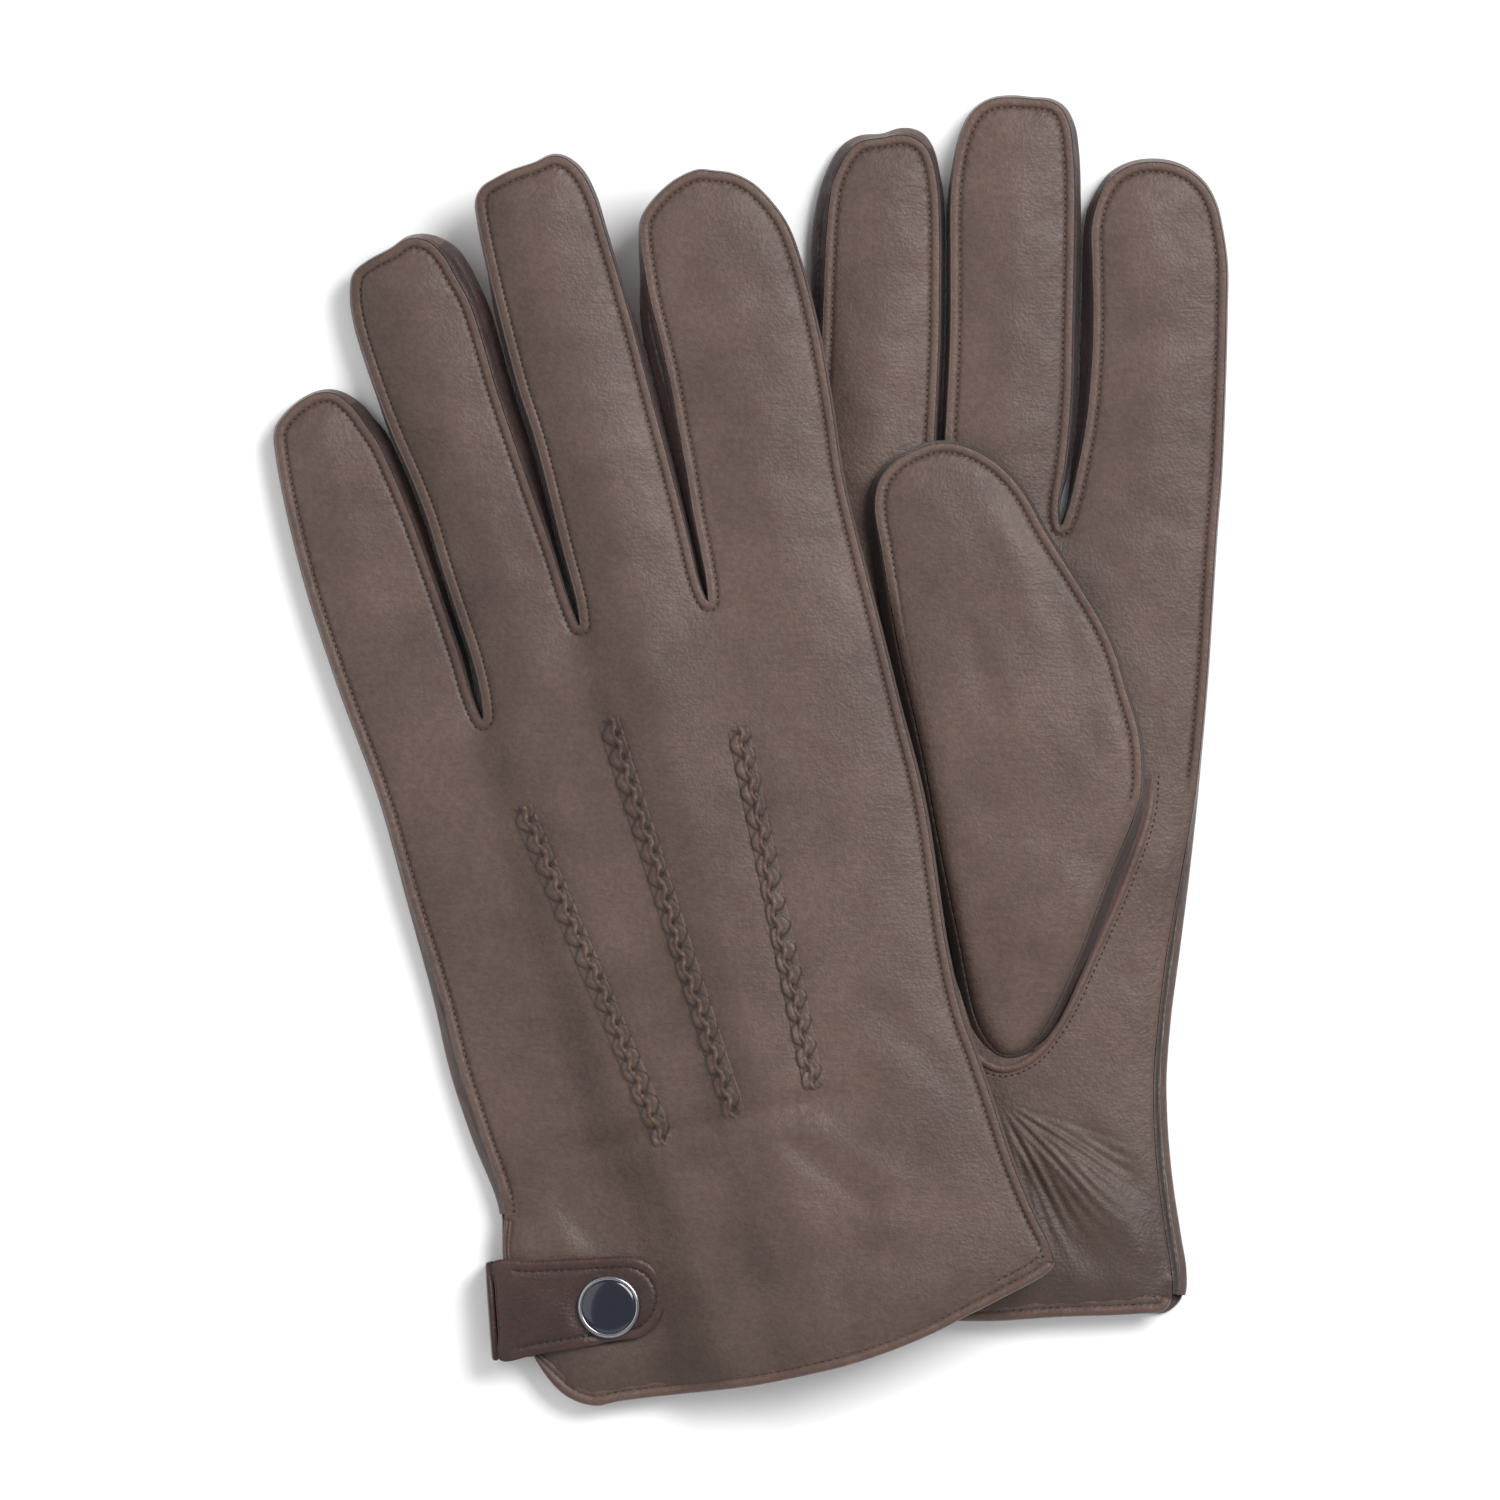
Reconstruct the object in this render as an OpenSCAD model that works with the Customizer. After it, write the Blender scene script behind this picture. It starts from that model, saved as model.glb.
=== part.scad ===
// A pair of men's leather gloves lying flat: the left glove, back up, rests on
// the right glove, palm up.  Each glove has leather panels, fourchettes between
// the fingers, a folded thumb, a knit lining, a bound hem and a snap strap.
// Origin: middle of the pair on the table.  +Y to the fingertips, +Z up.

/* [Leather] */
// Leather thickness
leather = 0.7; // [0.5:0.1:0.9]
// Knit lining thickness
knit = 0.4; // [0.3:0.1:0.6]
// Space for the hand in the flat glove
room = 4.2; // [4.1:0.1:5]
// Air left between bodies
gap = 0.3; // [0.3:0.05:0.5]

/* [Fingers] */
// Finger lengths from crotch line to tip: index, middle, ring, pinky
finger_len = [89, 95, 91, 73.5]; // [60:0.5:110]
// Finger widths at the base
finger_wide = [30.6, 24.6, 23.8, 23]; // [18:0.2:38]
// Finger widths near the tip
tip_wide = [29, 24, 22.6, 20.4]; // [14:0.2:34]

/* [Hand] */
// Height of the vent above the hem
vent_top = 39; // [25:1:60]
// Depth of the bound hem
hem_deep = 4; // [3:0.5:6]

/* [Strap] */
// Strap width
strap_wide = 16.6; // [12:0.2:20]
// Length of the strap arm
strap_long = 33; // [26:0.5:40]
// Height of the socket and stud under the strap
snap_gap = 1.8; // [1.6:0.1:2.4]
// Snap cap diameter
cap_d = 12.6; // [10:0.1:15]

/* [Points] */
// Scallop pitch along the three ridges
scallop = 4.9; // [4:0.1:6]
// Ridge height
ridge = 0.8; // [0.5:0.1:1]

/* [Layout] */
// Left glove turned on the table
left_turn = 15.7; // [0:0.1:30]
// Right glove turned on the table
right_turn = -2.2; // [-10:0.1:10]

/* [Hidden] */
$fn = 24;
wall = leather + knit;              // leather and lining together
thick = 2 * wall + room;            // one flat glove
ridge_lift = ridge;                 // the right glove lies on its ridges
right_top = ridge_lift + thick;
thumb_low = right_top + gap;        // folded thumbs lie at this height
thumb_thick = 2 * wall + room;
left_low = thumb_low + thumb_thick + gap;
cap_high = 1.1;
strap_thick = 1.2;
strap_lift = cap_high + strap_thick + snap_gap;
mid_low = right_top + gap + 0.3;    // ring finger level of the left glove
L = 0;
R = 1;

// lay of each glove: height of its underside across its width.  At the cuff the
// right glove is pushed in over its strap, up to a step across the hand.
lay = [
  [[-64, 0], [-26.5, 0], [-20.5, mid_low], [-6, mid_low], [2, left_low], [64, left_low]],
  [[-64, ridge_lift], [24, ridge_lift], [30, 0], [64, 0]]];
cuff_lay = [[-64, strap_lift], [-17, strap_lift], [-9, ridge_lift], [24, ridge_lift], [30, 0],
            [64, 0]];
cuff_step = 46;
top_lay = [
  [for (p = lay[L]) [p[0], p[1] + thick]],
  [[-64, right_top], [64, right_top]]];

// fingers: base centre, lean (degrees), underside and top heights
base_at = [[[37.2, 140], [8.2, 145], [-16.4, 141], [-41.4, 134]],
           [[37.6, 140], [9.2, 145], [-18.2, 141], [-42.5, 134]]];
lean = [[-4.6, -0.3, 3, 4.2], [0, 0.2, 1.2, 3]];
low_at = [[left_low, left_low, mid_low, 0], [0, ridge_lift, ridge_lift, ridge_lift]];
top_at = [[for (i = [0:3]) low_at[L][i] + thick], [for (i = [0:3]) right_top]];
// where each finger folds, measured from its base
fold_at = [[10, 8, 8, 7], [36, 32, 60, 200]];

// ---- outlines -------------------------------------------------------------
function half(i, s) = let (t = min(max(s, 0) / finger_len[i], 1))
  (finger_wide[i] * (1 - t) + tip_wide[i] * t) / 2;
function tip_r(i) = tip_wide[i] * 0.52;
function end_shape(a) = [pow(max(cos(a), 0), 0.9), pow(sin(a), 0.95)];
function finger_pts(i, d) = let (s1 = finger_len[i] - tip_r(i), w = half(i, s1) - d)
  concat([[half(i, 0) - d, -6], [half(i, 0) - d, 0]],
    [for (a = [0:15:165]) [w * end_shape(min(a, 180 - a))[0] * (a > 90 ? -1 : 1),
                            s1 + (tip_r(i) - d) * end_shape(a)[1]]],
    [[-w, s1], [-half(i, 0) + d, 0], [-half(i, 0) + d, -6]]);

module finger_plan(i, d = 0) { polygon(finger_pts(i, d)); }

// smooth closed run through a few marks
function soft(p, n, k) = let (m = len(p), a = p[(k + m - 1) % m], b = p[k], c = p[(k + 1) % m],
    e = p[(k + 2) % m]) [for (j = [0:n - 1]) let (t = j / n, t2 = t * t, t3 = t2 * t)
    (a * (-t + 2 * t2 - t3) + b * (2 - 5 * t2 + 3 * t3) + c * (t + 4 * t2 - 3 * t3)
     + e * (t3 - t2)) / 2];
function run(p, n) = [for (k = [0:len(p) - 1]) each soft(p, n, k)];

hand_marks = [
  [[52, 0.4], [28, -6.6], [0, -8.8], [-39.5, -4.4], [-49, -2.6], [-53.6, 8], [-52.9, 38.7],
   [-54.4, 68], [-53.6, 104], [-53, 133], [-40.8, 137], [-28, 134], [-16.6, 144], [-4.3, 144],
   [8.3, 148], [20.9, 145], [37, 143], [52.6, 139], [51.6, 95], [48.2, 62], [49, 34]],
  [[51, -1], [28, -5], [0, -6.8], [-36, -5], [-46.5, -2.4], [-49.6, 8], [-48.6, 38.7],
   [-52, 68], [-53.6, 104], [-54.4, 133], [-42.5, 137], [-30, 134], [-18.2, 144], [-4.8, 147],
   [9.2, 148], [20.8, 149], [37, 143], [52.2, 139], [50.2, 100], [46.4, 57], [46.6, 34]]];

module hand_core(g) { polygon(run(hand_marks[g], 3)); }
module at_finger(g, i) { translate(base_at[g][i]) rotate(lean[g][i]) children(); }
module stub(g, i, d, grow = 0) {
  at_finger(g, i) intersection() {
    finger_plan(i, d);
    translate([-40, -20]) square([80, 20 + fold_at[g][i] - gap / 2 + grow]);
  }
}
module hand_plan(g, d = 0, past = 0) {
  union() {
    offset(delta = -d) hand_core(g);
    for (i = [0:3]) stub(g, i, d, past);
  }
}
// strip of the plan along the hem, and the plan without it
module hem_strip(g) {
  difference() {
    intersection() { hand_core(g); translate([-70, -20]) square([140, 40]); }
    translate([0, hem_deep]) hand_core(g);
    translate([-70, 2]) square([16.5, 40]);
    translate([0, 9]) translate([-70, 0]) square([140, 40]);
  }
}
module cuff_cut(g) {
  translate([0, hem_deep]) hand_core(g);
  translate([-70, 9]) square([140, 260]);
}
// side walls of the hand: ring left open at the cuff, the vent and the fingers
module side_ring(g, d0, d1) {
  difference() {
    hand_plan(g, d0);
    hand_plan(g, d1, 3);
    translate([0, -hem_deep]) intersection() {
      offset(delta = -d1) hand_core(g);
      translate([-70, -20]) square([140, 60]);
    }
    translate([-70, -30]) square([40, 30 + vent_top]);
  }
}
module between_fingers(g) {
  polygon([base_at[g][3] - [0, 22], base_at[g][3] + [-sin(lean[g][3]) * 120, 120],
           base_at[g][0] + [-sin(lean[g][0]) * 120, 120], base_at[g][0] - [0, 22]]);
}

// ---- lay: a band between two heights, following how the glove lies ---------
function lift(p, a) = [for (q = p) [q[0], q[1] + a]];
function back(p) = [for (i = [len(p) - 1:-1:0]) p[i]];
module band(low, high) {
  translate([0, 270, 0]) rotate([90, 0, 0]) linear_extrude(330) polygon(concat(low, back(high)));
}
// all that lies above the underside, raised by a
module above(g, a) {
  sky = [[-64, 60], [64, 60]];
  if (g == L) band(lift(lay[L], a), sky);
  else union() {
    difference() {
      band(lift(cuff_lay, a), sky);
      translate([-100, cuff_step + a, -10]) cube([200, 300, 100]);
    }
    intersection() {
      band(lift(lay[R], a), sky);
      translate([-100, cuff_step + a, -10]) cube([200, 300, 100]);
    }
  }
}
module tall() { translate([0, 0, -2]) linear_extrude(50) children(); }
module under_sheet(g, a, b) {
  difference() {
    intersection() { tall() children(); above(g, a); }
    above(g, b);
  }
}
module upper_sheet(g, a, b) {
  intersection() { tall() children(); band(lift(top_lay[g], -b), lift(top_lay[g], -a)); }
}
module through(g, a) {
  intersection() {
    tall() children();
    above(g, a);
    band([[-64, -5], [64, -5]], lift(top_lay[g], -a));
  }
}
module place(g) {
  if (g == L) translate([11, -116, 0]) rotate(left_turn) children();
  else translate([36, -108, 0]) rotate(right_turn) children();
}
module slab(z0, z1) { translate([0, 0, z0]) linear_extrude(z1 - z0) children(); }

brown = [0.37, 0.29, 0.25];
dark = [0.27, 0.18, 0.16];

// ---- hand -----------------------------------------------------------------
mouth = [[16, 56], [33, 96], [25, 101], [8, 62]];       // thumb hole in the palm
left_mouth = [[14, 54], [36, 90], [30, 97], [6, 60]];
module palm_hole(g) { polygon(g == L ? left_mouth : mouth); }

module back_panel(g) {
  color(brown) place(g) {
    if (g == L) upper_sheet(g, 0, leather) intersection() { hand_plan(g); cuff_cut(g); }
    else under_sheet(g, 0, leather) intersection() { hand_plan(g); cuff_cut(g); }
  }
}
module palm_sheet(g) {
  difference() {
    intersection() { hand_plan(g); cuff_cut(g); }
    palm_hole(g);
  }
}
module palm_panel(g) {
  color(brown) place(g) union() {
    if (g == L) under_sheet(g, 0, leather) palm_sheet(g);
    else upper_sheet(g, 0, leather) palm_sheet(g);
    through(g, leather) difference() {
      intersection() { side_ring(g, 0, leather); cuff_cut(g); }
      between_fingers(g);
    }
  }
}
module fourchette_forks(g) {
  color(dark) place(g) through(g, leather) intersection() {
    side_ring(g, 0, leather);
    between_fingers(g);
  }
}
elastic_y = 43;
module elastic_strip(g) {
  intersection() {
    hand_plan(g, 3);
    translate([-30, elastic_y]) square([g == L ? 36 : 62, 5]);
    difference() { square([200, 200], center = true); offset(delta = 1) palm_hole(g); }
  }
}
module hand_lining(g) {
  color([0.33, 0.27, 0.24]) place(g) difference() {
    through(g, leather) intersection() { hand_plan(g, leather); cuff_cut(g); }
    difference() {
      through(g, wall) union() {
        hand_plan(g, wall, 3);
        mouth_clear(g);
        translate([-70, -30]) square([24, 30 + vent_top]);
      }
    }
    if (g == L) under_sheet(g, 0, wall + 1) palm_hole(g);
    else upper_sheet(g, 0, wall + 1) palm_hole(g);
    if (g == L) under_sheet(g, 0, wall + 0.5) elastic_strip(g);
    else upper_sheet(g, 0, wall + 0.5) elastic_strip(g);
  }
}
module mouth_clear(g) {
  translate([0, -hem_deep - 8]) intersection() {
    offset(delta = -wall) hand_core(g);
    translate([-70, -20]) square([140, 60]);
  }
}
module wrist_elastic(g) {
  color([0.15, 0.13, 0.12]) place(g) {
    if (g == L) under_sheet(g, leather, wall) elastic_strip(g);
    else upper_sheet(g, leather, wall) elastic_strip(g);
  }
}
module hem(g) {
  color(brown * 0.9) place(g) union() {
    under_sheet(g, 0, wall) hem_strip(g);
    upper_sheet(g, 0, wall) hem_strip(g);
    through(g, wall) intersection() {
      hem_strip(g);
      difference() { translate([30, -30]) square([60, 60]); offset(delta = -wall) hand_core(g); }
      translate([40, -1]) square([40, 40]);
    }
  }
}

// ---- raised points on the back ---------------------------------------------
rows = [[[-26.5, 116.5], [-16.8, 43.6]], [[-5, 128.5], [-1.8, 45.2]], [[19.7, 119.7], [15, 46.1]]];
module point_row(r) {
  way = r[1] - r[0];
  n = round(norm(way) / scallop);
  side = [-way[1], way[0]] / norm(way);
  union() {
    for (k = [0:n - 1])
      translate(r[0] + way * (k + 0.5) / n + side * (k % 2 == 0 ? 0.8 : -0.8))
        rotate(atan2(way[1], way[0])) square([scallop * 0.62, 2.4], center = true);
    translate(r[0]) rotate(atan2(way[1], way[0])) translate([0, -0.6]) square([norm(way), 1.2]);
  }
}
module points(g) {
  color(brown) place(g) {
    if (g == L) upper_sheet(g, -ridge, 0) for (r = rows) point_row(r);
    else under_sheet(g, -ridge, 0) for (r = rows) point_row(r);
  }
}

// ---- fingers ---------------------------------------------------------------
module cut_at(g, i, grow = 0) {
  translate([-40, fold_at[g][i] + gap / 2 - grow]) square([80, 200]);
}
module finger_ring(g, i) {
  intersection() {
    difference() { finger_plan(i); finger_plan(i, leather); }
    cut_at(g, i);
  }
}
// one side of the finger below its tip; side is 1 towards the thumb
module leg_zone(i, side) {
  translate([side > 0 ? 0 : -40, -20]) square([40, 20 + finger_len[i] - tip_r(i) + 3]);
}
function has_leg(i, side) = !(i == 0 && side > 0) && !(i == 3 && side < 0);
module finger_shell(g, i) {
  z0 = low_at[g][i];
  z1 = top_at[g][i];
  color(brown) place(g) at_finger(g, i) union() {
    slab(z0, z0 + leather) intersection() { finger_plan(i); cut_at(g, i); }
    slab(z1 - leather, z1) intersection() { finger_plan(i); cut_at(g, i); }
    slab(z0 + leather, z1 - leather) difference() {
      finger_ring(g, i);
      if (has_leg(i, 1)) leg_zone(i, 1);
      if (has_leg(i, -1)) leg_zone(i, -1);
    }
  }
}
module fourchette_leg(g, i, side) {
  color(dark) place(g) at_finger(g, i)
    slab(low_at[g][i] + leather, top_at[g][i] - leather)
      intersection() { finger_ring(g, i); leg_zone(i, side); }
}
module finger_lining(g, i) {
  z0 = low_at[g][i] + leather;
  z1 = top_at[g][i] - leather;
  color([0.33, 0.27, 0.24]) place(g) at_finger(g, i) difference() {
    slab(z0, z1) intersection() { finger_plan(i, leather); cut_at(g, i); }
    slab(z0 + knit, z1 - knit) intersection() { finger_plan(i, wall); cut_at(g, i, 5); }
  }
}

// ---- thumb: folded flat over the palm ----------------------------------------
thumb_marks = [[12.3, 45.8], [22.5, 52.5], [31, 70.5], [38.2, 91.5], [38.9, 107], [34, 124.5],
  [24, 143.5], [13.2, 160], [4.2, 168.3], [-6, 169.8], [-14.8, 165.2], [-17.8, 156],
  [-13.9, 141.9], [-9, 123], [-2.6, 97.9], [4.4, 68], [9.4, 50]];
thumb_mouth = [[17, 58], [33.5, 92], [25, 97], [9, 64]];
module thumb_place(g) {
  place(g)
    if (g == L) translate([5.3, 45.5]) rotate(-17) translate([-13.3, -45.5]) children();
    else children();
}
module thumb_plan(d = 0) { offset(delta = -d) polygon(run(thumb_marks, 3)); }
module thumb_outer(g) {
  z = thumb_low;
  face = g == L ? z : z + thumb_thick - leather;
  color(brown) thumb_place(g) union() {
    slab(face, face + leather) thumb_plan();
    slab(z + leather, z + thumb_thick - leather) difference() {
      thumb_plan();
      thumb_plan(leather);
    }
  }
}
module thumb_inner(g) {
  face = g == L ? thumb_low + thumb_thick - leather : thumb_low;
  color(brown) thumb_place(g) slab(face, face + leather) difference() {
    thumb_plan();
    polygon(thumb_mouth);
  }
}
module thumb_lining(g) {
  z0 = thumb_low + leather;
  z1 = thumb_low + thumb_thick - leather;
  color([0.33, 0.27, 0.24]) thumb_place(g) difference() {
    slab(z0, z1) thumb_plan(leather);
    slab(z0 + knit, z1 - knit) thumb_plan(wall);
    slab(g == L ? z1 - 1 : z0 - 1, g == L ? z1 + 1 : z0 + 1) polygon(thumb_mouth);
  }
}

// ---- strap and snap: hinge edge at the glove's outer side ---------------------
strap_at = [[-58.6, 20.6], [-52, 20.6]];
strap_turn = [-11.5, -8];
snap_at = 25.2;                      // snap centre along the strap
// strap frame: x along the strap, z = 0 at the glove's back, up away from it
module strap_frame(g) {
  place(g)
    if (g == L) translate([strap_at[g][0], strap_at[g][1], thick]) rotate(strap_turn[g]) children();
    else translate([strap_at[g][0], strap_at[g][1], strap_lift]) rotate(strap_turn[g])
      mirror([0, 0, 1]) children();
}
module strap_plan(d = 0) {
  w = strap_wide / 2 - d;
  union() {
    translate([0.2, -w]) square([strap_long - 8.6, 2 * w]);
    translate([strap_long - 8.5, 0]) circle(w);
  }
}
module strap(g) {
  color(dark * 1.1) strap_frame(g) slab(snap_gap + 0.5, snap_gap + strap_thick) difference() {
    strap_plan();
    translate([snap_at, 0]) circle(1.6);
  }
}
module strap_backing(g) {
  color(dark) strap_frame(g) slab(snap_gap, snap_gap + 0.5) difference() {
    strap_plan();
    translate([snap_at, 0]) circle(1.6);
  }
}
// leather loop that carries the strap round the edge from the palm side
module strap_anchor(g) {
  h = (g == L ? thick : right_top - strap_lift) - wall;
  color(dark) strap_frame(g) union() {
    translate([-1.4, -strap_wide / 2, -h]) cube([1.2, strap_wide, h + snap_gap + 1.1]);
    translate([-0.2, -strap_wide / 2, -h]) cube([g == L ? 10 : 8, strap_wide, 0.6]);
  }
}
module snap_cap(g) {
  z = snap_gap + strap_thick;
  color([0.1, 0.1, 0.12]) strap_frame(g) translate([snap_at, 0, z]) rotate_extrude($fn = 48)
    polygon(concat([[0, 0], [cap_d / 2, 0], [cap_d / 2, 0.35]],
      [for (a = [20:20:80]) [cap_d / 2 * cos(a), 0.35 + (cap_high - 0.35) * sin(a)]],
      [[0, cap_high]]));
}
module snap_socket(g) {
  color([0.75, 0.75, 0.76]) strap_frame(g) translate([snap_at, 0, 0.75]) difference() {
    union() {
      cylinder(h = snap_gap - 0.75, r = 4.6);
      cylinder(h = snap_gap - 0.75 + strap_thick, r = 1.6);
    }
    translate([0, 0, -0.1]) cylinder(h = 0.95, r = 2.5);
  }
}
module snap_stud(g) {
  color([0.75, 0.75, 0.76]) strap_frame(g) translate([snap_at, 0, 0]) union() {
    cylinder(h = 0.4, r = 4.3);
    cylinder(h = 1.35, r = 2.1);
  }
}
module snap_post(g) {
  color([0.7, 0.68, 0.62]) strap_frame(g) translate([snap_at, 0, -wall - 0.5])
    cylinder(h = 0.5, r = 3.6);
}

// ---- pieces -----------------------------------------------------------------

back_panel(L);  // left_back_panel
palm_panel(L);  // left_palm_panel
fourchette_forks(L);  // left_fourchette_forks
hand_lining(L);  // left_hand_lining
wrist_elastic(L);  // left_wrist_elastic
hem(L);  // left_hem
points(L);  // left_points
finger_shell(L, 0);  // left_index_shell
finger_lining(L, 0);  // left_index_lining
finger_shell(L, 1);  // left_middle_shell
finger_lining(L, 1);  // left_middle_lining
finger_shell(L, 2);  // left_ring_shell
finger_lining(L, 2);  // left_ring_lining
finger_shell(L, 3);  // left_pinky_shell
finger_lining(L, 3);  // left_pinky_lining
fourchette_leg(L, 0, -1);  // left_index_ulnar_fourchette
fourchette_leg(L, 1, 1);  // left_middle_radial_fourchette
fourchette_leg(L, 1, -1);  // left_middle_ulnar_fourchette
fourchette_leg(L, 2, 1);  // left_ring_radial_fourchette
fourchette_leg(L, 2, -1);  // left_ring_ulnar_fourchette
fourchette_leg(L, 3, 1);  // left_pinky_radial_fourchette
thumb_outer(L);  // left_thumb_outer
thumb_inner(L);  // left_thumb_inner
thumb_lining(L);  // left_thumb_lining
strap(L);  // left_strap
strap_backing(L);  // left_strap_backing
strap_anchor(L);  // left_strap_anchor
snap_cap(L);  // left_snap_cap
snap_socket(L);  // left_snap_socket
snap_stud(L);  // left_snap_stud
snap_post(L);  // left_snap_post
back_panel(R);  // right_back_panel
palm_panel(R);  // right_palm_panel
fourchette_forks(R);  // right_fourchette_forks
hand_lining(R);  // right_hand_lining
wrist_elastic(R);  // right_wrist_elastic
hem(R);  // right_hem
points(R);  // right_points
finger_shell(R, 0);  // right_index_shell
finger_lining(R, 0);  // right_index_lining
finger_shell(R, 1);  // right_middle_shell
finger_lining(R, 1);  // right_middle_lining
finger_shell(R, 2);  // right_ring_shell
finger_lining(R, 2);  // right_ring_lining
fourchette_leg(R, 0, -1);  // right_index_ulnar_fourchette
fourchette_leg(R, 1, 1);  // right_middle_radial_fourchette
fourchette_leg(R, 1, -1);  // right_middle_ulnar_fourchette
fourchette_leg(R, 2, 1);  // right_ring_radial_fourchette
fourchette_leg(R, 2, -1);  // right_ring_ulnar_fourchette
thumb_outer(R);  // right_thumb_outer
thumb_inner(R);  // right_thumb_inner
thumb_lining(R);  // right_thumb_lining
strap(R);  // right_strap
strap_backing(R);  // right_strap_backing
strap_anchor(R);  // right_strap_anchor
snap_cap(R);  // right_snap_cap
snap_socket(R);  // right_snap_socket
snap_stud(R);  // right_snap_stud
snap_post(R);  // right_snap_post
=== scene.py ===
"""The looks of a pair of men's brown leather gloves lying flat on a table.

The left glove, back up, lies across the right glove, palm up.  Each glove is a
pillowed leather shell: two panels with beaded, stitched seams, fourchettes down
the sides of the fingers, a folded thumb, a knit lining, a rolled hem, three
gathered points on the back and a snap strap over the vent.

All shapes are drawn flat in each glove's own frame (mm, +y to the fingertips,
+x to the index finger), lifted to the height at which the glove lies, and then
placed on the table.
"""

import bpy
import numpy as np
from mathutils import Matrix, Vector
from mathutils.geometry import delaunay_2d_cdt
from mathutils.kdtree import KDTree


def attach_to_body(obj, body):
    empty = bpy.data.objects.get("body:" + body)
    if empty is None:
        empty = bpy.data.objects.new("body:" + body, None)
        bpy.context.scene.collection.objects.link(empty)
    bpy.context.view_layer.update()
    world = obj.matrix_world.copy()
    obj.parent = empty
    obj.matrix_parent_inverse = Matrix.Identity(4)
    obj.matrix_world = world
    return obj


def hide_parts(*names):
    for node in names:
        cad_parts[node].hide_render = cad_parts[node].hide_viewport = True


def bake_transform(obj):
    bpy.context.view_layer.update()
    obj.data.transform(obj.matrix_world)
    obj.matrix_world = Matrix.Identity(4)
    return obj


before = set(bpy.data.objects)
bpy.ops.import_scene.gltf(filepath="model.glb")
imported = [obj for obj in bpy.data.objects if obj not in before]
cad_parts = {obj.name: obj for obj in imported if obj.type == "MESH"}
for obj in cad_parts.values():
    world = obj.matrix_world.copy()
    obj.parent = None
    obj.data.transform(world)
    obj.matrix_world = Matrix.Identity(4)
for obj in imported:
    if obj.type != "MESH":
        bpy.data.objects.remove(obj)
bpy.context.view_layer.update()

MM = 0.001
L, R = "left", "right"

# ---- sizes in mm, as in the CAD part except for the strap -------------------
THICK = 6.4            # one flat glove
RIDGE = 0.8            # the right glove lies on its ridges
RIGHT_TOP = RIDGE + THICK
THUMB_LOW = 7.5        # folded thumbs lie at this height
LEFT_LOW = 14.2
VENT_TOP = 39.0
BEAD = 1.75            # seam allowance outside the stitch line
STITCH = 1.25          # stitch pitch
SCALLOP = 4.9
PLACE = {L: ((11, -116), 15.7), R: ((36, -108), -2.2)}
FINGERS = ["index", "middle", "ring", "pinky"]
BASE = {
    L: [(37.2, 140), (8.2, 145), (-16.4, 141), (-41.4, 134)],
    R: [(37.6, 140), (9.2, 145), (-18.2, 141), (-42.5, 134)],
}
LEAN = {L: [-4.6, -0.3, 3, 4.2], R: [0, 0.2, 1.2, 3]}
FOLD = {L: [10, 8, 8, 7], R: [36, 32, 60, None]}  # the right little finger stays straight
FINGER_WIDE = [30.6, 24.6, 23.8, 23]
# bottom of each fork, between index and middle, middle and ring, ring and little finger
FORK = {
    L: [(20.7, 145.4), (-5.3, 147.6), (-29.1, 134.8)],
    R: [(20.4, 153.6), (-4.9, 147.6), (-30.5, 135.4)],
}
FINGER_TOP = {L: [20.6, 20.6, 14.2, 6.4], R: [7.2] * 4}

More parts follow.
